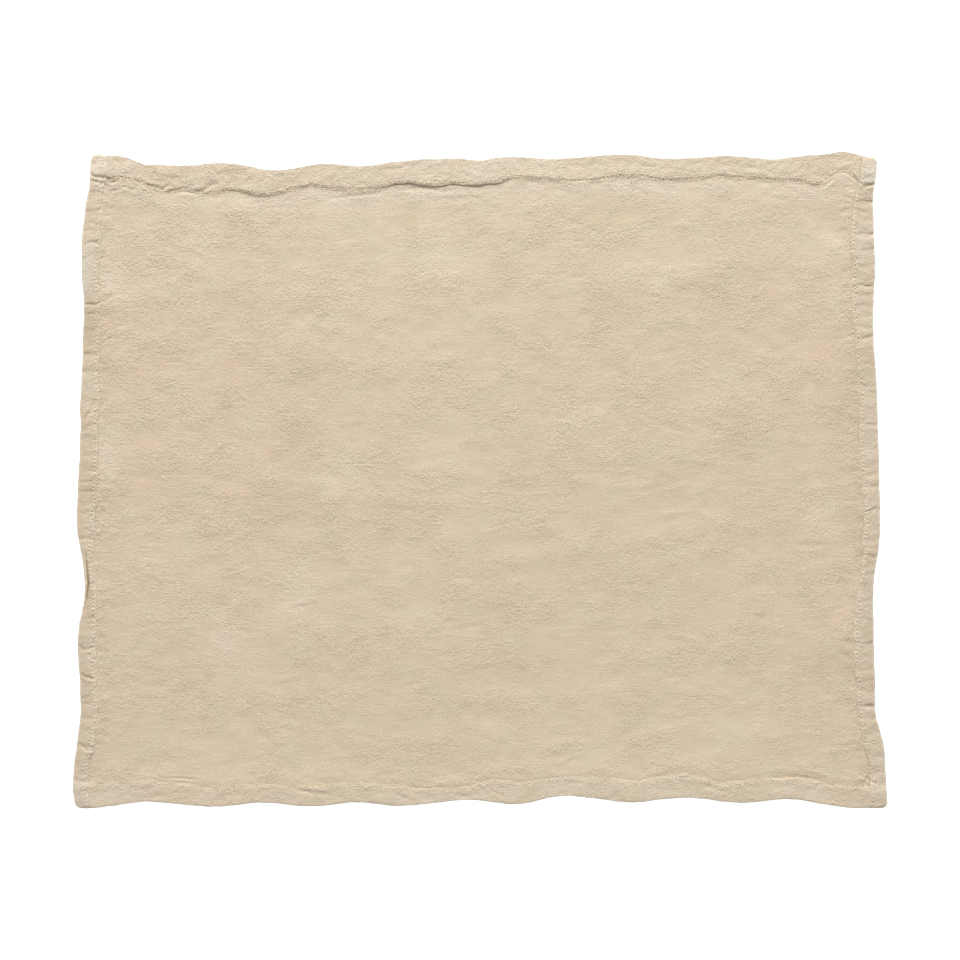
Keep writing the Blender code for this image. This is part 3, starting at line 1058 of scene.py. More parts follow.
@dataclass(frozen=True)
class LinenThread:
    """The sewing thread: two plies of linen, a little paler than the cloth."""

    name: str = "linen_thread"
    colour: Colour = (0.805, 0.703, 0.56, 1.0)
    groove_shade: Colour = (0.67, 0.562, 0.422, 1.0)
    twist_pitch: float = 0.9 * MM
    groove_depth: float = 0.05 * MM
    shine: float = 0.3
    sheen: float = 0.15

    def build(self) -> Material:
        """Wires a slanted band pattern for the plies, with painted shade in the groove between them.

        Returns:
            The material.
        """
        material = bpy.data.materials.new(self.name)
        sheet = NodeSheet(material)
        turn = 2 * math.pi / self.twist_pitch
        slant = sheet.math("ADD", *sheet.parts(sheet.cloth)[:2])
        ply = sheet.math("SINE", sheet.math("MULTIPLY", slant, turn))
        fuzz = sheet.noise(sheet.cloth, 2500.0, 2.0)
        body = sheet.math("MULTIPLY_ADD", ply, 0.25, fuzz)
        bump = sheet.add("ShaderNodeBump", {"Strength": 1.0, "Distance": self.groove_depth, "Height": body})
        sheet.dress(
            {
                # The groove between the plies is painted darker: painted shade
                "Base Color": sheet.mix(sheet.ramp(body, 0.2, 0.6), self.groove_shade, self.colour),
                "Roughness": sheet.math("MULTIPLY_ADD", fuzz, 0.15, 0.75),
                "Normal": bump.outputs["Normal"],
                "Specular IOR Level": self.shine,
                "Sheen Weight": self.sheen,
            }
        )
        return material


@dataclass(frozen=True)
class PaleFloor:
    """A matt white table, lit from within a little so that it stays white beside the cloth."""

    name: str = "pale_floor"
    colour: Colour = (0.62, 0.62, 0.62, 1.0)
    mottle: Colour = (0.6, 0.6, 0.6, 1.0)
    glow: float = 0.84
    roughness: float = 0.9
    shine: float = 0.1

    def build(self) -> Material:
        """Wires a faint mottle.

        Returns:
            The material.
        """
        material = bpy.data.materials.new(self.name)
        sheet = NodeSheet(material)
        patches = sheet.noise(sheet.add("ShaderNodeTexCoord", {}).outputs["Object"], 4.0)
        sheet.dress(
            {
                "Base Color": sheet.mix(patches, self.colour, self.mottle),
                "Roughness": self.roughness,
                "Specular IOR Level": self.shine,
                "Emission Color": WHITE,
                "Emission Strength": self.glow,
            }
        )
        return material


# ---- The mat ----


@dataclass
class Outline:
    """Where the mat's edges, folds and seams run.

    `half_length` and `half_depth` are the mean mat's, and `shift` slides the mat's own frame to the
    solid's, whose box is centred on the origin.
    """

    half_length: float
    half_depth: float
    shift: Array

    @classmethod
    def from_box(cls, low: Sequence[float], high: Sequence[float]) -> "Outline":
        """The outline that fills the solid's box.

        The box's sides are the mean mat's and the furthest crests of the two edges.

        Args:
            low: the box's lowest corner.
            high: its highest corner.

        Returns:
            The outline.
        """
        reach = {side: waves.greatest() for side, waves in EDGE_WAVES.items()}
        length, depth = high[0] - low[0], high[1] - low[1]
        outline = cls(
            half_length=(length - reach[Side.LEFT] - reach[Side.RIGHT]) / 2,
            half_depth=(depth - reach[Side.FRONT] - reach[Side.BACK]) / 2,
            shift=np.zeros(3),
        )
        outline.shift[0] = (low[0] + high[0] + reach[Side.LEFT] - reach[Side.RIGHT]) / 2
        outline.shift[1] = (low[1] + high[1] + reach[Side.FRONT] - reach[Side.BACK]) / 2
        return outline

    def half(self, side: Side) -> float:
        """From the mat's middle to the straight side of the mean mat."""
        return self.half_depth if side.runs_along_x else self.half_length

    def edge(self, side: Side, along: Array) -> Array:
        """How far out a side's edge lies from the mat's middle."""
        return self.half(side) + EDGE_WAVES[side].read(along) + side.unevenness(along, EDGE_RAG)

    def fold(self, side: Side, along: Array) -> Array:
        """How far out a hem's inner fold lies from the mat's middle."""
        return self.half(side) - FOLD_LINES[side].read(along) + side.unevenness(along, FOLD_RAG)

    def seam(self, side: Side, along: Array) -> Array:
        """How far out a hem's seam lies from the mat's middle."""
        return self.fold(side, along) + SEAM_INSET

    def width(self, side: Side, along: Array) -> Array:
        """How wide a hem is."""
        return self.edge(side, along) - self.fold(side, along)

    def between(
        self, left: Line, right: Line, front: Line, back: Line, share_x: Array, share_y: Array
    ) -> tuple[Array, Array]:
        """Points a given share of the way between two pairs of wavy lines.

        A line's place depends on the point's own place along it, so x and y are worked out in
        turns, each from the other, until they settle.

        Args:
            left: how far out the line on the left lies at each y, and likewise the next three.
            right: the line on the right.
            front: the line at the front, at each x.
            back: the line at the back.
            share_x: 0 at the left line to 1 at the right one.
            share_y: 0 at the front line to 1 at the back one.

        Returns:
            The points' x and y, in the mat's own frame.
        """
        share_x, share_y = np.broadcast_arrays(share_x, share_y)
        x = (2 * share_x - 1) * self.half_length
        y = (2 * share_y - 1) * self.half_depth
        for _ in range(SETTLING_TURNS):
            x = -left(y) * (1 - share_x) + right(y) * share_x
            y = -front(x) * (1 - share_y) + back(x) * share_y
        return x, y


@dataclass
class Crinkles:
    """The uneven lie of washed cloth: noise of several sizes and short creases here and there.

    `scales` has a row for each size of noise: its pitch along x and along y, its rise, and how
    sharp its ridges are, from 0 for round hills to 1 for ridges; lengths in millimetres.
    """

    scales: tuple[Row, ...] = (
        (120.0, 105.0, 0.36, 0.0),
        (55.0, 46.0, 0.2, 0.2),
        (25.0, 21.0, 0.115, 0.3),
        (12.0, 9.6, 0.07, 0.4),
        (6.0, 5.0, 0.052, 0.4),
    )
    warp: float = 0.35
    uneven: float = 0.6  # how much stronger or weaker the noise is from place to place
    seed: int = 7
    creases: int = 420
    crease_length: Span = (6.0, 26.0)
    crease_width: Span = (0.9, 1.9)
    crease_rise: Span = (0.05, 0.17)

    def short_creases(self, half_length: float, half_depth: float) -> list[Crease]:
        """Short random creases over the panel, most of them near level with the mat's length.

        Args:
            half_length: half the length of the area that they cover.
            half_depth: half its depth.

        Returns:
            The creases, two thirds of them furrows.
        """
        random = np.random.default_rng(self.seed)
        made = []
        for _ in range(self.creases):
            x = random.uniform(-half_length, half_length) / MM
            y = random.uniform(-half_depth, half_depth) / MM
            turn = random.normal(0.0, 0.6)
            half = random.uniform(*self.crease_length) / 2
            width = random.uniform(*self.crease_width)
            rise = random.uniform(*self.crease_rise) * (-1 if random.random() < 0.67 else 1)
            made.append(Crease.about(x, y, half, turn, width, rise))
        return made

    def rise(self, x: Array, y: Array) -> Array:
        """The noise's height at each point.

        Each size is smooth noise n, bent by a larger noise, and ridged by (1 - sharp) n +
        sharp (0.5 - |n|) 2, so that its crests turn to creases. A third noise makes it stronger in
        some places than in others.

        Args:
            x, y: the points' places.

        Returns:
            The heights.
        """
        total = np.zeros_like(x)
        for i, (pitch_x, pitch_y, rise, sharp) in enumerate(self.scales):
            seed = self.seed + 10 * i
            bend = self.warp * pitch_x * MM
            bent_x = x + bend * lattice_noise(x, y, pitch_x * 1.7, pitch_y * 1.7, seed + 1)
            bent_y = y + bend * lattice_noise(x, y, pitch_x * 1.7, pitch_y * 1.7, seed + 2)
            noise = lattice_noise(bent_x, bent_y, pitch_x, pitch_y, seed + 3)
            ridged = 2 * (0.5 - np.abs(noise))
            strength = lattice_noise(x, y, pitch_x * 2.9, pitch_y * 2.9, seed + 4)
            strength = rise * MM * (1 + self.uneven * strength)
            total += strength * ((1 - sharp) * noise + sharp * ridged)
        return total


class Station(NamedTuple):
    """One line of points along a hem, round its section, in millimetres.

    It lies `offset` in from the outer edge, plus `share` of the hem's width, at `height`. `relief`
    is how much of the hem's creases it takes, `tone` how much paler or darker it is painted there,
    which on the outer roll and the lip is painted light and shade, and `settle` how much lower the line
    lies where the lip blends into the panel.
    """

    offset: float
    share: float
    height: float
    relief: float = 0.0
    tone: float = 0.0
    settle: float = 0.0


@dataclass
class TurnedHem:
    """One hem: the edge turned over twice, as a closed section carried along the wavy side.

    The section runs from the seam along the underside, round the outer roll, over the face, down
    into the seam's dip, over the lip and back under it. The panel ends inside it, at the seam.
    """

    side: Side
    outline: Outline
    ring_pitch: float = 0.62 * MM
    pucker_rings: float = 1.1  # how much closer the rings are at a pucker 1 mm deep
    end_rings: float = 5.0  # and at a side hem's ends
    roll: float = 1.5 * MM  # how far in the outer roll reaches
    lip: float = 3.3 * MM  # from the inner fold out to where the seam's dip starts
    face_stations: int = 13
    underside_rise: float = 0.35 * MM  # at the seam, where the thread draws it up
    puff: float = 0.22 * MM
    crumple: float = 0.15 * MM
    seam_height: float = 2.52 * MM
    seam_settle: float = 0.05 * MM
    lost_rise: float = 0.8 * MM  # of a lip's front, for each unit that its blend is above 1
    lost_reach: float = 1.7 * MM
    needle_dip: float = 0.09 * MM  # how deep the cloth is drawn in at each needle's hole
    needle_reach: float = 0.9 * MM
    end_draw: float = 1.02 * MM  # how far a side hem draws up the end hem's face beneath its lip
    end_draw_reach: float = 6.0 * MM
    end_fall: float = 0.2  # how much less a side hem is lifted at an end hem's outer edge
    grey_reach: float = 4.0 * MM  # from the inner fold out to where the hem is as grey as it gets
    climb: float = 12.0 * MM  # how far a side hem takes to rise onto an end hem
    climb_lead: float = 6.2 * MM  # how far before the end hem it starts to
    climb_bow: float = 1.5 * MM  # how much sooner it starts along the side hem's middle
    climb_rag: float = 1.4 * MM
    pucker_front: float = 2.3 * MM
    pucker_back: float = 0.75 * MM
    pucker_sway: tuple[Row, ...] = ((1.0 * MM, 5.5, 4.5, 4), (0.35 * MM, 2.4, 2.0, 9))
    bulge_place: float = 3.2 * MM  # from a pucker's line to the low bulge beside it
    bulge_width: float = 1.6 * MM
    notch_share: float = 0.3  # of a pucker's depth, by which it draws the hem's edge in
    notch_reach: float = 1.6 * MM
    rim_furrow: float = 0.5 * MM
    end_roll: float = 1.9 * MM
    end_height: float = 0.3
    hub_share: float = 0.12  # of the way from the seam's wall to the edge, for an end's middle point
    small_creases: int = 46
    seed: int = 40

    @property
    def tone(self) -> float:
        """The hem's tone: side hems are painted darker than the rest, as shade for their puckers."""
        return 0.0 if self.side.runs_along_x else -0.42

    def stations(self) -> list[Station]:
        """The section, from the seam on the underside all the way round to the seam's wall.

        Returns:
            Its stations in order, brought down to this hem's height.
        """
        seam = -SEAM_INSET / MM
        run_from, run_span = self.roll / MM, (self.roll + self.lip) / MM
        crown = CROWN[self.side] / MM
        top = HEM_TOP / MM
        # The outer roll's and the lip's tones are painted shade and painted light on the section
        rim, fold = RIM_TONES[self.side], LIP_TONES[self.side]
        under = [(seam, 1, self.underside_rise / MM), (seam - 1.3, 1, 0.03)]
        under += [(run_from - run_span * q, q, 0.0) for q in (0.66, 0.33, 0.0)]
        roll = [
            (0.9, 0, 0.04), (0.38, 0, 0.26), (0.1, 0, 0.7),
            (0.0, 0, 1.25, 0.0, rim), (0.04, 0, 1.75, 0.15, rim),
            (0.17, 0, 2.12 - 0.5 * crown, 0.35, rim),
            (0.42, 0, 2.37 - 0.8 * crown, 0.6, 0.7 * rim),
            (0.85, 0, 2.51 - 0.95 * crown, 0.8, 0.4 * rim),
        ]
        face = []
        for q in np.linspace(0.0, 1.0, self.face_stations):
            height = top - crown * (1 - q) ** 1.3
            # Painted shade on the side hems, darkest towards the outer edge
            tone = self.tone * (2.1 - 1.4 * q**2)
            face.append((run_from - run_span * q, float(q), height, 1.0, tone))
        seam_height, seam_settle = self.seam_height / MM, self.seam_settle / MM
        seam_tone = SEAM_TONES[self.side] + 0.4 * self.tone
        dip = [
            (seam - 0.6, 1, 2.57, 1.0, seam_tone, 0.02),
            (seam, 1, seam_height, 1.0, seam_tone + 0.2 * fold, seam_settle),
            (seam + 0.55, 1, 2.5, 1.0, 0.6 * fold, 0.1),
        ]
        lip = [
            (-1.15, 1, 2.47, 1.0, fold, 0.16), (-0.75, 1, 2.38, 0.9, fold, 0.19),
            (-0.42, 1, 2.26, 0.7, fold, 0.17), (-0.16, 1, 2.11, 0.5, fold, 0.11),
            (0.0, 1, 1.95, 0.3, fold, 0.02), (-0.06, 1, 1.85), (-0.4, 1, 1.8), (-1.0, 1, 1.7),
            (seam, 1, 1.48),
        ]
        section = table(Station, *under, *roll, *face, *dip, *lip)
        return [s._replace(height=self.lofted(s.height * MM) / MM) for s in section]

    def lofted(self, height: float) -> float:
        """A height on a full hem brought down to this one's, in metres; the panel's top stays."""
        return min(height, PANEL_TOP) + LOFTS[self.side] * max(height - PANEL_TOP, 0.0)

    def furrows(self) -> list[Crease]:
        """The hem's sharp creases.

        Returns:
            Those listed in CREASES, and small random ones along this hem.
        """
        random = np.random.default_rng(self.seed + len(self.side.value) + ord(self.side.value[0]))
        half_along = self.outline.half_length if self.side.runs_along_x else self.outline.half_depth
        middle = self.outline.half(self.side) - 6 * MM
        made = list(CREASES)
        for _ in range(self.small_creases):
            along = random.uniform(-half_along, half_along) / MM
            across = self.side.outward * (middle / MM + random.uniform(-6.0, 6.0))
            turn = random.normal(0.0, 0.5)
            half = random.uniform(1.5, 5.0)
            width, rise = random.uniform(0.7, 1.3), random.uniform(-0.22, 0.1)
            x, y = (along, across) if self.side.runs_along_x else (across, along)
            made.append(Crease.about(x, y, half, turn, width, rise))
        return made

    def pucker_rise(self, along: Array, across: Array, share: Array) -> Array:
        """How far the creases across the hem draw its face down.

        A crease is steep towards the back and gentle towards the front: a bell of one width on one
        side and of another on the other, with a low bulge beyond each. Noise sways its line and
        varies its depth, and a shallow one fades towards the outer edge.

        Args:
            along: places along the side.
            across: places across it.
            share: how far in each point is, 0 at the outer edge to 1 at the inner fold.

        Returns:
            The rise, mostly negative.
        """
        rise = np.zeros_like(along)
        sway = noise_sum(along, across, self.pucker_sway, self.seed)
        uneven = 0.68 + 0.42 * lattice_noise(along, across, 4.5, 3.2, self.seed + 5)
        for pucker in PUCKERS[self.side]:
            away = along + sway - (pucker.along + pucker.slant * (share - 0.5)) * MM
            width = np.where(away > 0, self.pucker_back, self.pucker_front)
            bulge = bell(np.abs(away) - self.bulge_place, self.bulge_width)
            fade = 1 - max(0.0, 0.75 - 0.75 * pucker.depth) * smooth_step(1.1 - 1.4 * share)
            rise += pucker.depth * MM * fade * (0.16 * bulge - bell(away, width))
        return rise * uneven

    def rim(self, along: Array, inward: Array) -> tuple[Array, Array]:
        """The furrow behind the left hem's turned-up rim: a narrow bell about its own line.

        Args:
            along: places along the side.
            inward: how far in from the edge each point lies.

        Returns:
            The furrow's rise in metres, and the tone that goes with it: painted shade along the line and
            painted light on the rim outside it.
        """
        if self.side is not Side.LEFT:
            return np.zeros_like(along), np.zeros_like(along)
        rows = np.array(TURNED_RIM[::-1]) * MM
        line = np.interp(along, rows[:, 0], rows[:, 1])
        depth = np.interp(along, rows[:, 0], rows[:, 2])
        full = depth / rows[:, 2].max()
        # Painted shade in the furrow and painted light on the rim beside it
        dull_and_shade = 3.0 * full * bell(inward - line, self.rim_furrow)
        pale = 0.9 * full * smooth_step((line - inward) / (0.9 * MM))
        return -depth * bell(inward - line, self.rim_furrow), pale - dull_and_shade

    def place(self, share_along: Array, offset: Array, share: Array) -> tuple[Array, ...]:
        """Where points of the hem lie, before their height.

        A point's place along the hem is a share of the way between the two lines that end it: the
        mat's own edges for a side hem, and the side hems' seams for an end hem. Its place across is
        the edge's, less its distance in. Each depends on the other, so they are settled in turns.

        Args:
            share_along: 0 at the hem's low end to 1 at its high end.
            offset: distance in from the outer edge.
            share: the share of the hem's width to add to it.

        Returns:
            The place along, the place across (both in the mat's frame), the distance in from the
            edge, and the distance from the nearer end.
        """
        outline, side = self.outline, self.side
        low_side, high_side = side.ends
        line = outline.seam if side.runs_along_x else outline.edge
        share_along, offset, share = np.broadcast_arrays(share_along, offset, share)
        half = outline.half(low_side)
        along = (2 * share_along - 1) * half
        for _ in range(SETTLING_TURNS):
            inward = offset + share * outline.width(side, along)
            across = side.outward * (outline.edge(side, along) - inward)
            low, high = -line(low_side, across), line(high_side, across)
            along = low + (high - low) * share_along
        from_end = np.minimum(along - low, high - along)
        return along, across, inward, from_end

    def surface(
        self, share_along: Array, offset: Array, share: Array, height: Array, relief: Array, settle: Array
    ) -> Array:
        """Points of the hem's surface, with its creases.

        Args:
            share_along, offset, share: as `place` has them.
            height: the height on a plain hem.
            relief: how much of the creases each point takes.
            settle: how much lower each point lies where the lip blends into the panel.

        Returns:
            The points, in the solid's frame.
        """
        along, across, inward, from_end = self.place(share_along, offset, share)
        along_x = self.side.runs_along_x
        x, y = (along, across) if along_x else (across, along)
        width = self.outline.width(self.side, along)
        across_share = inward / width

        crumple = self.crumple * between_rows(CRUMPLING[self.side], along)
        hills = ((self.puff, 26, 26, 1), (0.9 * crumple, 7.5, 5.0, 2), (0.6 * crumple, 3.4, 2.6, 3))
        rise = noise_sum(x, y, hills, self.seed)
        rise = rise + furrow_rise(x, y, self.furrows())
        pucker = self.pucker_rise(along, across, across_share)
        fade = PUCKER_FADE[self.side]
        rise = rise + pucker * (1 - 0.6 * smooth_step((across_share - fade) / 0.3))
        rise = rise + self.rim(along, inward)[0]
        if along_x:
            for end in self.side.ends:
                under_lip = self.outline.fold(end, y) - x * end.outward
                rise = rise + self.end_draw * drawn_share(under_lip, self.end_draw_reach)
        from_fold = width - inward
        blend = self.side.lip_blend(along)
        lost = np.maximum(blend - 1, 0.0)
        holes = 0.5 + 0.5 * np.cos(2 * math.pi * along / STITCH_PITCH)
        dip = self.needle_dip * (1 - lost / (LOST_BLEND - 1))
        rise = rise - dip * holes * bell(from_fold - SEAM_INSET, self.needle_reach)

        z = height - settle * np.minimum(blend, 1.0) + relief * rise
        z = z + self.lost_rise * lost * np.clip(1 - from_fold / self.lost_reach, 0.0, 1.0)
        if not along_x:
            z, inward, from_end = self.lie_over_ends(x, y, z, height, inward, from_end)
            notch = self.notch_share * np.minimum(pucker, 0.0) * bell(inward, self.notch_reach)
            across = self.side.outward * (self.outline.edge(self.side, along) - inward + notch)
            low_edge, high_edge = (self.outline.edge(end, across) for end in self.side.ends)
            towards = np.where(along < 0, -1.0, 1.0)
            rounded = towards * (np.where(along < 0, low_edge, high_edge) - from_end)
            along = np.where(from_end < CORNER_RADIUS, rounded, along)
            x, y = across, along
        return np.stack([x, y, z], axis=-1) + self.outline.shift

    def lie_over_ends(
        self, x: Array, y: Array, z: Array, height: Array, inward: Array, from_end: Array
    ) -> tuple[Array, Array, Array]:
        """Lifts a side hem over the end hems, rounds its corners and closes its ends to a roll.

        Over an end hem everything above the panel is lifted by that hem's loft, with a smooth step
        at the end hem's inner fold, and a little less towards its outer edge. A corner's square is
        drawn onto a disc: with a and b the distances from the disc's middle to the two edges, as
        shares of its radius, the point moves to a sqrt(1 - b^2 / 2) and b sqrt(1 - a^2 / 2). At its
        very end the section is squeezed towards half its height along a quarter circle.

        Args:
            x, y: the points' places, in the mat's frame.
            z: the heights so far.
            height: the heights on a plain hem.
            inward: distances in from the outer edge.
            from_end: distances from the nearer end.

        Returns:
            The new heights, distances in and distances from the end.
        """
        width = self.outline.width
        end_width = np.where(y < 0, width(Side.FRONT, x), width(Side.BACK, x))
        side_width = np.where(x < 0, width(Side.LEFT, y), width(Side.RIGHT, y))
        bow = self.climb_bow * np.sin(math.pi * np.clip(inward / side_width, 0.0, 1.0))
        bow = bow + self.climb_rag * lattice_noise(x, y, 6.5, 5, self.seed + 6)
        over = smooth_step((end_width + self.climb_lead + bow - from_end) / self.climb)
        loft = np.where(y < 0, LOFTS[Side.FRONT], LOFTS[Side.BACK])
        fall = self.end_fall * smooth_step(1 - from_end / end_width)
        lift = HEM_LAYERS * loft * over * (1 - fall)
        z = z + lift * np.clip(height / PANEL_TOP, 0.0, 1.0)

        side_share = np.clip(1 - inward / CORNER_RADIUS, 0.0, 1.0)
        end_share = np.clip(1 - from_end / CORNER_RADIUS, 0.0, 1.0)
        round_side = CORNER_RADIUS * (1 - side_share * np.sqrt(1 - end_share**2 / 2))
        round_end = CORNER_RADIUS * (1 - end_share * np.sqrt(1 - side_share**2 / 2))
        inward = np.where(side_share > 0, round_side, inward)
        rounded = np.where(end_share > 0, round_end, from_end)

        quarter = 1 - np.clip(from_end / self.end_roll, 0.0, 1.0)
        squeeze = self.end_height + (1 - self.end_height) * np.sqrt(1 - quarter**2)
        middle = (HEM_TOP + lift) / 2
        return middle + (z - middle) * squeeze, inward, rounded

    def ring_density(self, share: Array) -> Array:
        """How close the rings are along the hem: closer at puckers, and at a side hem's ends.

        Args:
            share: places along the hem, 0 to 1.

        Returns:
            The density, 1 where nothing draws them together.
        """
        half = self.outline.half(self.side.ends[0])
        place = (2 * share - 1) * half
        tall = np.ones_like(place)
        for pucker in PUCKERS[self.side]:
            tall += self.pucker_rings * pucker.depth * bell(place - pucker.along * MM, 2.0 * MM)
        if not self.side.runs_along_x:
            tall += self.end_rings * bell(half - np.abs(place), 1.4 * MM)
        return tall

    def build(self, finish: Material) -> bpy.types.Object:
        """The hem as one closed mesh: rings of stations, and a fan to a middle point at each end.

        Args:
            finish: the cloth's material.

        Returns:
            The piece.
        """
        offset, share, height, relief, tone, settle = np.array(self.stations()).T
        rings = int(2 * self.outline.half(self.side.ends[0]) / self.ring_pitch)
        shares = clustered_shares(rings, self.ring_density)[:, None]
        points = self.surface(shares, offset * MM, share, height * MM, relief, settle * MM)
        rings, sides = points.shape[:2]
        hub = self.hub(points)
        faces = ring_faces(rings, sides).tolist()
        first, last = rings * sides, rings * sides + 1
        edge = (rings - 1) * sides
        faces += [[first, (k + 1) % sides, k] for k in range(sides)]
        faces += [[last, edge + k, edge + (k + 1) % sides] for k in range(sides)]

        steps = np.linalg.norm(np.diff(points, axis=1), axis=-1)
        girth = np.concatenate([np.zeros((rings, 1)), np.cumsum(steps, axis=1)], axis=1)
        length = np.broadcast_to(points[:, :1, 0 if self.side.runs_along_x else 1], girth.shape)
        pair = (length, girth) if self.side.runs_along_x else (girth, length)
        uv = np.stack(pair, axis=-1).reshape(-1, 2)
        uv = np.concatenate([uv, uv[:1], uv[-1:]])
        wear_and_shade = self.wear_and_shade(shares, offset * MM, share, tone).reshape(-1, 3)
        wear_and_shade = np.concatenate([wear_and_shade, wear_and_shade[:1], wear_and_shade[-1:]])
        everything = np.concatenate([points.reshape(-1, 3), hub])
        return add_piece(f"hem_{self.side.value}", everything, faces, uv, wear_and_shade, finish)

    def wear_and_shade(self, share_along: Array, offset: Array, share: Array, tone: Array) -> Array:
        """How the cloth is tinted at each point of the hem, with painted light and shade in its tone.

        Args:
            share_along, offset, share: as `place` has them.
            tone: how pale each line of the section is.

        Returns:
            Each point's tone, crush and greyness.
        """
        along, across, inward, _ = self.place(share_along, offset, share)
        x, y = (along, across) if self.side.runs_along_x else (across, along)
        tones = tone + self.rim(along, inward)[1]
        tones = tones + 0.22 * lattice_noise(x, y, 11, 8, self.seed + 7)
        grey = HEM_GREY[self.side] * (1 + 0.9 * lattice_noise(x, y, 16, 11, self.seed + 8))
        from_fold = self.outline.width(self.side, along) - inward
        # Grey most at the outer edge, where it greys the painted shade on the roll, and none near the inner
        # fold, where the painted shade along the lip stays warm
        grey = grey * smooth_step(from_fold / self.grey_reach) + 0.6 * bell(inward, 0.9 * MM)
        for patch in HEM_PATCHES[self.side]:
            shape = patch_share(x, y, patch)
            tones = tones + patch.tone * shape
            grey = grey + patch.grey * shape
        by_seam = SEAM_CRUSH[self.side] * bell(from_fold - SEAM_INSET, 2.4 * MM)
        crush = HEM_CRUSH[self.side] + by_seam + 0.4 * lattice_noise(x, y, 9, 7, self.seed + 10)
        return np.stack([tones, crush, np.clip(grey, 0.0, 1.0)], axis=-1)

    def hub(self, points: Array) -> Array:
        """The two points that close the ends, each inside its end ring, near the seam's wall.

        Args:
            points: the hem's points, as ring, station and coordinate.

        Returns:
            One row for each end.
        """
        stations = self.stations()
        seam = [i for i, s in enumerate(stations) if abs(s.offset + SEAM_INSET / MM) < 1e-6]
        outermost = [(s.offset, s.share) for s in stations].index((0, 0))
        low, high, outer = (points[[0, -1], i] for i in (seam[0], seam[1], outermost))
        middle = 0.28 * low + 0.72 * high
        return middle + self.hub_share * (outer - middle) * np.array([1.0, 1.0, 0.0])


@dataclass
class ClothPanel:
    """The cloth inside the hems: a fine face on a coarse, flat underside.

    The face's grid runs from seam to seam, so its borders lie under the hems' lips.
    """

    outline: Outline
    crinkles: Crinkles
    columns: int = 237
    rows: int = 393
    under_step: int = 4
    gap: float = 0.1 * MM  # to the wall inside each hem
    calm_reach: float = 6.0 * MM  # how far from a hem the cloth takes to swell fully
    free_draw: float = 0.1 * MM  # how far it is drawn up at a fold whose lip overhangs
    steep_reach: float = 1.4 * MM
    sharp_reach: float = 2.2 * MM
    gather_rise: float = 0.17 * MM
    gather_place: float = 2.5 * MM  # from the hems' inner folds in to where it is gathered most
    gather_reach: float = 6.5 * MM
    gather_noise: tuple[Row, ...] = ((1.0, 5.2, 4.2, 4), (0.5, 2.6, 2.6, 5))
    tone_noise: tuple[Row, ...] = ((0.11, 21, 13, 52), (0.13, 10, 6, 53))
    least_thickness: float = 0.35 * MM
    underside_rise: float = 0.35 * MM
    tail_length: Span = (6.0, 15.0)
    tail_share: float = 0.17
    seam_creases: int = 150
    seed: int = 90

    def line_shares(self, count: int, span: float) -> Array:
        """Where the grid's lines lie, closer together by the hems.

        Args:
            count: how many lines.
            span: how far they reach in all.

        Returns:
            Their places, 0 to 1.
        """

        def density(share: Array) -> Array:
            """How close the lines are at each place."""
            return 1.0 + 1.1 * bell(np.minimum(share, 1 - share) * span, 14 * MM)

        return clustered_shares(count, density)

    def border(self, side: Side) -> Line:
        """How far out the panel's border lies on a side, as a function of the place along it."""
        return lambda along: self.outline.seam(side, along) - self.gap

    def inside(self, x: Array, y: Array) -> Array:
        """How far inside the nearest hem's inner fold each point is, negative under a lip."""
        return np.minimum.reduce([self.inward(side, x, y) for side in Side])

    def inward(self, side: Side, x: Array, y: Array) -> Array:
        """How far inside one hem's inner fold each point is, negative under its lip."""
        along, out = (x, y * side.outward) if side.runs_along_x else (y, x * side.outward)
        return self.outline.fold(side, along) - out

    def pucker_tails(self) -> list[Crease]:
        """Where the side hems' puckers run on into the panel.

        Returns:
            A shallow straight crease for each.
        """
        random = np.random.default_rng(self.seed)
        made = []
        for side, puckers in PUCKERS.items():
            for pucker in puckers:
                start = float(self.outline.fold(side, np.array([pucker.along * MM]))[0]) / MM
                reach = random.uniform(*self.tail_length) * (0.5 + 0.5 * pucker.depth)
                drift = random.normal(0.0, 1.4)
                x0, x1 = side.outward * (start + 1), side.outward * (start - reach)
                rise = -self.tail_share * pucker.depth * random.uniform(0.5, 1.2)
                width = random.uniform(1.1, 1.9)
                made.append(Crease(width, rise, ((x0, pucker.along), (x1, pucker.along + drift))))
        return made

    def gathers(self) -> list[Crease]:
        """Short random creases beside the side hems.

        Returns:
            The creases, more of them towards the back.
        """
        random = np.random.default_rng(self.seed + 7)
        half = self.outline.half_depth / MM
        made = []
        for k in range(self.seam_creases):
            side = (Side.LEFT, Side.RIGHT)[k % 2]
            along = half * (1 - 2 * random.uniform(0.02, 1.0) ** 1.5)
            start = float(self.outline.fold(side, np.array([along * MM]))[0]) / MM
            x = side.outward * (start - abs(random.normal(0.0, 5.0)))
            turn, half_long = random.uniform(-1.1, 1.1), random.uniform(1.5, 4.0)
            width, rise = random.uniform(0.9, 1.4), random.uniform(-0.24, -0.06)
            made.append(Crease.about(x, along, half_long, turn, width, rise))
        return made

    def face_height(self, x: Array, y: Array) -> Array:
        """The height of the panel's face: its mean, and the swells and creases away from the hems.

        Args:
            x, y: the points' places, in the mat's frame.

        Returns:
            The heights.
        """
        outline = self.outline
        inside = self.inside(x, y)
        soft = swell_rise(x, y, PANEL_SWELLS) + self.crinkles.rise(x, y)
        sharp = furrow_rise(x, y, FOLD_MARKS + CREASES) + furrow_rise(x, y, self.pucker_tails())
        sharp += furrow_rise(x, y, self.gathers())
        sharp += furrow_rise(x, y, self.crinkles.short_creases(outline.half_length, outline.half_depth))
        gather = noise_sum(x, y, self.gather_noise, self.seed)
        sharp += self.gather_rise * gather * bell(inside - self.gather_place, self.gather_reach)
        height = PANEL_TOP + self.draw(x, y) + soft * smooth_step((inside + 1 * MM) / self.calm_reach)
        height += sharp * smooth_step((inside + 0.4 * MM) / self.sharp_reach)
        return np.maximum(height, self.least_thickness)

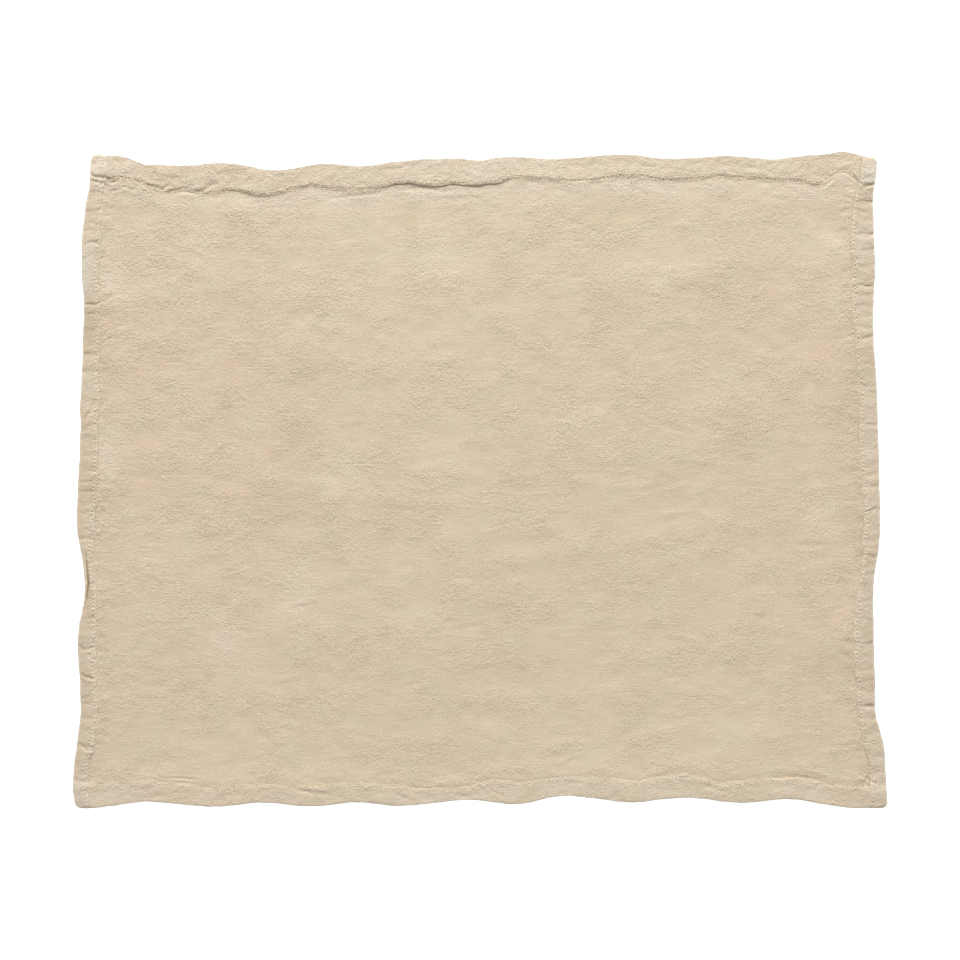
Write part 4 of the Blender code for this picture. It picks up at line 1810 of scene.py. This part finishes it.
    def draw(self, x: Array, y: Array) -> Array:
        """How far the cloth is drawn up towards the inner folds, most where a lip blends into it.

        Args:
            x, y: the points' places, in the mat's frame.

        Returns:
            The rise, in metres: the greatest of the four sides'.
        """
        rises = []
        for side in Side:
            inward, draw = self.inward(side, x, y), DRAWS[side]
            blend = side.lip_blend(x if side.runs_along_x else y)
            rise = self.free_draw + (draw.rise * MM - self.free_draw) * blend
            steep = draw.steep * smooth_step((LOST_BLEND - blend) / (LOST_BLEND - 1))
            share = (1 - steep) * drawn_share(inward, draw.reach * MM)
            rises.append(rise * (share + steep * drawn_share(inward, self.steep_reach)))
        return np.maximum.reduce(rises)

    def build(self, finish: Material) -> bpy.types.Object:
        """The panel as one closed mesh.

        The underside has one in `under_step` of the lines of the face's grid. Round the rim, one
        face joins that many steps of the face's border to one of the underside's.

        Args:
            finish: the cloth's material.

        Returns:
            The piece.
        """
        shares = np.meshgrid(
            self.line_shares(self.columns, 2 * self.outline.half_length),
            self.line_shares(self.rows, 2 * self.outline.half_depth),
            indexing="ij",
        )
        order = (Side.LEFT, Side.RIGHT, Side.FRONT, Side.BACK)
        x, y = self.outline.between(*(self.border(side) for side in order), *shares)
        face = np.stack([x, y, self.face_height(x, y)], axis=-1) + self.outline.shift

        step = self.under_step
        under = face[::step, ::step].copy()
        under[..., 2] = 0.0
        for line in (np.s_[0, :], np.s_[-1, :], np.s_[:, 0], np.s_[:, -1]):
            under[line][..., 2] = self.underside_rise
        under_columns, under_rows = under.shape[:2]

        faces = grid_faces(self.columns, self.rows).tolist()
        first = self.columns * self.rows
        faces += (grid_faces(under_columns, under_rows)[:, ::-1] + first).tolist()
        faces += self.rim_faces(under_columns, under_rows, first)
        points = np.concatenate([face.reshape(-1, 3), under.reshape(-1, 3)])
        uv = points[:, :2].copy()
        wear_and_shade = np.concatenate([self.face_wear_and_shade(x, y).reshape(-1, 3), np.zeros((under.size // 3, 3))])
        return add_piece("placemat_panel", points, faces, uv, wear_and_shade, finish)

    def face_wear_and_shade(self, x: Array, y: Array) -> Array:
        """How the panel is tinted: its tone from the patches, which are painted light and shade, and from
        soft noise, and its crush.

        Noise sways the patches' edges. The grain is more creased at the back and beside the hems.

        Args:
            x, y: the points' places, in the mat's frame.

        Returns:
            Each point's tone, crush and greyness.
        """
        sway_x = 9 * MM * lattice_noise(x, y, 24, 18, self.seed + 50)
        sway_y = 6 * MM * lattice_noise(x, y, 24, 14, self.seed + 51)
        tone = noise_sum(x, y, self.tone_noise, self.seed)
        for patch in PANEL_PATCHES:
            tone += patch.tone * patch_share(x + sway_x, y + sway_y, patch)
        from_back, from_front, from_left, from_right = (self.inward(side, x, y) for side in Side)
        # Paler just inside the back hem, a little darker along the front hem, and darker beside the right hem
        tone += 0.75 * bell(from_back - 6 * MM, 6 * MM) - 0.06 * bell(from_front, 3.5 * MM)
        tone -= 0.32 * bell(from_right, 6 * MM)
        crush = 0.55 * smooth_step((y + 130 * MM) / (260 * MM))
        crush += 0.25 * smooth_step((-x - 60 * MM) / (150 * MM))
        crush += 0.9 * bell(np.minimum(from_left, from_right), 6 * MM) + 0.4 * bell(from_back, 5 * MM)
        crush += 0.9 * lattice_noise(x, y, 19, 14, self.seed + 54)
        crush += 0.6 * lattice_noise(x, y, 8, 7, self.seed + 55)
        crush = np.maximum(crush, -0.7)
        return np.stack([tone, crush, np.zeros_like(x)], axis=-1)

    def rim_faces(self, under_columns: int, under_rows: int, first: int) -> list[list[int]]:
        """The faces between the face's border and the underside's.

        Args:
            under_columns: how many columns of points the underside has.
            under_rows: how many rows.
            first: the number of the underside's first point.

        Returns:
            The faces, in the same sense as the face's own.
        """
        step, made = self.under_step, []
        top = np.arange(self.columns * self.rows).reshape(self.columns, self.rows)
        low = first + np.arange(under_columns * under_rows).reshape(under_columns, under_rows)
        borders = (
            (top[:, 0], low[:, 0]),
            (top[-1, :], low[-1, :]),
            (top[::-1, -1], low[::-1, -1]),
            (top[0, ::-1], low[0, ::-1]),
        )
        for upper, lower in borders:
            for i in range(len(lower) - 1):
                run = upper[i * step : (i + 1) * step + 1]
                made.append([int(n) for n in (lower[i], lower[i + 1], *run[::-1])])
        return made


@dataclass
class Seam:
    """The row of stitches that holds a hem down: short loops of thread on its face and underside."""

    hem: TurnedHem
    thread_radius: float = 0.38 * MM
    rings: int = 6
    sides: int = 6
    stitch_share: float = 0.7  # of the pitch, the rest being the needle's hole
    bulge: float = 0.3 * MM
    squash: float = 0.85  # how high a loop's section is for its width
    end_radius: float = 0.3  # of a loop's ends, as a share of its middle's
    sink: float = 0.02 * MM
    sway: float = 0.22 * MM
    hidden_share: float = 0.1  # of the stitches, which have sunk into the cloth
    end_gap: float = 2.2 * MM
    seed: int = 130

    def ends_of_stitches(self) -> tuple[Array, Array]:
        """The two ends of each stitch on the hem's face.

        Stitches lie between the needle's holes, which are a pitch apart. Each sways a little to
        one side or the other.

        Returns:
            Two arrays of points, in the solid's frame.
        """
        side, outline = self.hem.side, self.hem.outline
        low_side, high_side = side.ends
        line = outline.seam if side.runs_along_x else outline.edge
        across = side.outward * outline.half(side)
        low = -float(line(low_side, np.array([across]))[0]) + self.end_gap
        high = float(line(high_side, np.array([across]))[0]) - self.end_gap
        holes = np.arange(math.ceil(low / STITCH_PITCH), math.floor(high / STITCH_PITCH) + 1) * STITCH_PITCH
        random = np.random.default_rng(self.seed + ord(side.value[0]))
        middle = (holes[:-1] + holes[1:]) / 2
        half = self.stitch_share * STITCH_PITCH / 2
        sway = random.uniform(-self.sway, self.sway, (2, len(middle)))
        made = []
        for sign, sideways in zip((-1, 1), sway):
            share_along = (middle + sign * half - low + self.end_gap) / (high - low + 2 * self.end_gap)
            offset = np.full_like(middle, -SEAM_INSET) + sideways
            ones = np.ones_like(middle)
            height, settle = ones * self.hem.lofted(self.hem.seam_height), ones * self.hem.seam_settle
            made.append(self.hem.surface(share_along, offset, ones, height, ones, settle))
        return made[0], made[1]

    def stitch_sizes(self, count: int) -> Array:
        """How large each stitch on the face is: uneven, and a few sunk.

        Args:
            count: how many stitches.

        Returns:
            Their sizes, as shares of a full one.
        """
        random = np.random.default_rng(self.seed + 5 + ord(self.hem.side.value[0]))
        sizes = STITCH_SHOW[self.hem.side] * random.uniform(0.7, 1.25, count)
        return np.where(random.random(count) < self.hidden_share, 0.3 * sizes, sizes)

    def loops(self, start: Array, end: Array, up: float, sizes: Array) -> Array:
        """Short curved tubes from start to end, bulging away from the cloth.

        At t from 0 to 1 along a stitch, its middle line is raised by 4t(1 - t) bulges, and its
        radius is the root of sin(pi t), with a little left at the ends.

        Args:
            start: one end of each stitch.
            end: the other end of each.
            up: +1 for stitches on the face, -1 for those on the underside.
            sizes: the share of the full thickness and bulge that each has.

        Returns:
            Points, as stitch, ring, place round the ring, and coordinate.
        """
        t = np.linspace(0.0, 1.0, self.rings)[None, :, None]
        line = start[:, None] + (end - start)[:, None] * t
        line[..., 2] += up * (sizes[:, None] * self.bulge * (4 * t * (1 - t))[..., 0] - self.sink)
        run = end - start
        run[:, 2] = 0.0
        run /= np.linalg.norm(run, axis=1, keepdims=True)
        sideways = np.stack([-run[:, 1], run[:, 0], np.zeros(len(run))], axis=-1)
        angle = np.linspace(0.0, 2 * math.pi, self.sides, endpoint=False)
        full = np.sqrt(np.maximum(np.sin(math.pi * t), 0.0))
        radius = self.thread_radius * (self.end_radius + (1 - self.end_radius) * full)
        radius = radius * sizes[:, None, None]
        out = sideways[:, None, None] * np.cos(angle)[None, None, :, None]
        out = out + np.array([0.0, 0.0, up]) * self.squash * np.sin(angle)[None, None, :, None]
        return line[:, :, None] + radius[..., None] * out

    def build(self, finish: Material) -> bpy.types.Object:
        """All the stitches of the seam, joined into one mesh.

        Args:
            finish: the thread's material.

        Returns:
            The piece.
        """
        start, end = self.ends_of_stitches()
        upper = self.loops(start, end, 1.0, self.stitch_sizes(len(start)))
        low_start, low_end = start.copy(), end.copy()
        for points in (low_start, low_end):
            points[:, 2] = self.thread_radius * self.squash + self.bulge - self.sink
        lower = self.loops(low_start, low_end, -1.0, np.ones(len(start)))
        loops = np.concatenate([upper, lower])
        stitches = len(loops)

        one = ring_faces(self.rings, self.sides).tolist()
        caps = [list(range(self.sides))[::-1], [(self.rings - 1) * self.sides + k for k in range(self.sides)]]
        per_stitch = self.rings * self.sides
        base = np.arange(stitches)[:, None, None] * per_stitch
        faces = (base + np.array(one)).reshape(-1, 4).tolist()
        faces += (base + np.array(caps)).reshape(-1, self.sides).tolist()

        along = np.linspace(0.0, self.stitch_share * STITCH_PITCH, self.rings)
        round_it = np.linspace(0.0, 2 * math.pi * self.thread_radius, self.sides)
        uv = np.stack(np.meshgrid(along, round_it, indexing="ij"), axis=-1).reshape(-1, 2)
        uv = np.tile(uv, (stitches, 1)) + np.repeat(np.arange(stitches), per_stitch)[:, None] * STITCH_PITCH
        points = loops.reshape(-1, 3)
        name = f"seam_{self.hem.side.value}"
        return add_piece(name, points, faces, uv, np.zeros((len(points), 3)), finish)


@dataclass
class Placemat:
    """The whole mat: its panel, four hems and four seams."""

    outline: Outline

    def build(self) -> None:
        linen, thread = WashedLinen().build(), LinenThread().build()
        panel = ClothPanel(self.outline, Crinkles()).build(linen)
        self.fasten(panel)
        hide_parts(CLOTH_NODE)
        for side in Side:
            hem = TurnedHem(side, self.outline)
            for piece in (hem.build(linen), Seam(hem).build(thread)):
                self.fasten(piece)

    def fasten(self, piece: bpy.types.Object) -> None:
        """Lets a piece ride on the mat's body, and reports it.

        Args:
            piece: a hem, a seam or the panel.
        """
        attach(piece, BODY)
        log.info("%s: %d points, %d faces", piece.name, len(piece.data.vertices), len(piece.data.polygons))


# ---- The studio ----


@dataclass
class Studio:
    """A white table, one broad soft light behind the mat, an even surround and a camera overhead."""

    centre: Array
    floor_half: float = 4.0
    floor_lines: int = 9
    floor_level: float = -0.2 * MM
    key_place: tuple[float, float, float] = (-0.2, 3.9, 2.7)
    key_size: Span = (3.0, 1.6)
    key_power: float = 261.0
    surround: float = 0.43
    lens: float = 85.0
    sensor: float = 36.0
    photo_pixels: int = 960
    pixel: float = 0.62882 * MM  # what one pixel of the photograph spans on the table
    aim: Point = (0.36 * MM, -0.14 * MM)  # the view's middle, from the mat's own

    def build(self) -> None:
        """Lays the floor and sets the lights, the surround and the camera."""
        self.lay_floor()
        self.hang_key()
        self.fill_surround()
        self.place_camera()
        view = bpy.context.scene.view_settings
        view.view_transform = "Standard"
        view.look = "None"

    def lay_floor(self) -> None:
        """The table: a level square grid."""
        line = np.linspace(-self.floor_half, self.floor_half, self.floor_lines)
        x, y = np.meshgrid(line, line, indexing="ij")
        points = np.stack([x, y, np.full_like(x, self.floor_level)], axis=-1).reshape(-1, 3)
        mesh = bpy.data.meshes.new("studio_floor")
        mesh.from_pydata(points.tolist(), [], grid_faces(self.floor_lines, self.floor_lines).tolist())
        mesh.materials.append(PaleFloor().build())
        floor = add_object("studio_floor", mesh)

    def hang_key(self) -> None:
        """The broad light, turned to face the middle of the mat."""
        light = bpy.data.lights.new("key", "AREA")
        light.shape = "RECTANGLE"
        light.size, light.size_y = self.key_size
        light.energy = self.key_power
        lamp = add_object("key", light)
        lamp.location = self.key_place
        lamp.rotation_euler = (-lamp.location).to_track_quat("-Z", "Y").to_euler()

    def fill_surround(self) -> None:
        """Even white light from all around."""
        world = bpy.data.worlds.new("surround")
        world.use_nodes = True
        background = world.node_tree.nodes["Background"]
        background.inputs["Color"].default_value = WHITE
        background.inputs["Strength"].default_value = self.surround
        bpy.context.scene.world = world

    def place_camera(self) -> None:
        """Straight above the mat, at the height from which the photograph's width fills the view."""
        camera = bpy.data.cameras.new("camera")
        camera.lens, camera.sensor_width = self.lens, self.sensor
        span = self.photo_pixels * self.pixel
        eye = add_object("camera", camera)
        middle = self.centre[:2] + np.array(self.aim)
        eye.location = (*middle, span * self.lens / self.sensor)
        bpy.context.scene.camera = eye


def main() -> None:
    """Builds the mat over its solid, then the studio round it."""
    logging.basicConfig(level=logging.INFO, format="%(name)s: %(message)s")
    outline = Outline.from_box(*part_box(CLOTH_NODE))
    Placemat(outline).build()
    Studio(outline.shift).build()


if __name__ == "__main__":
    main()
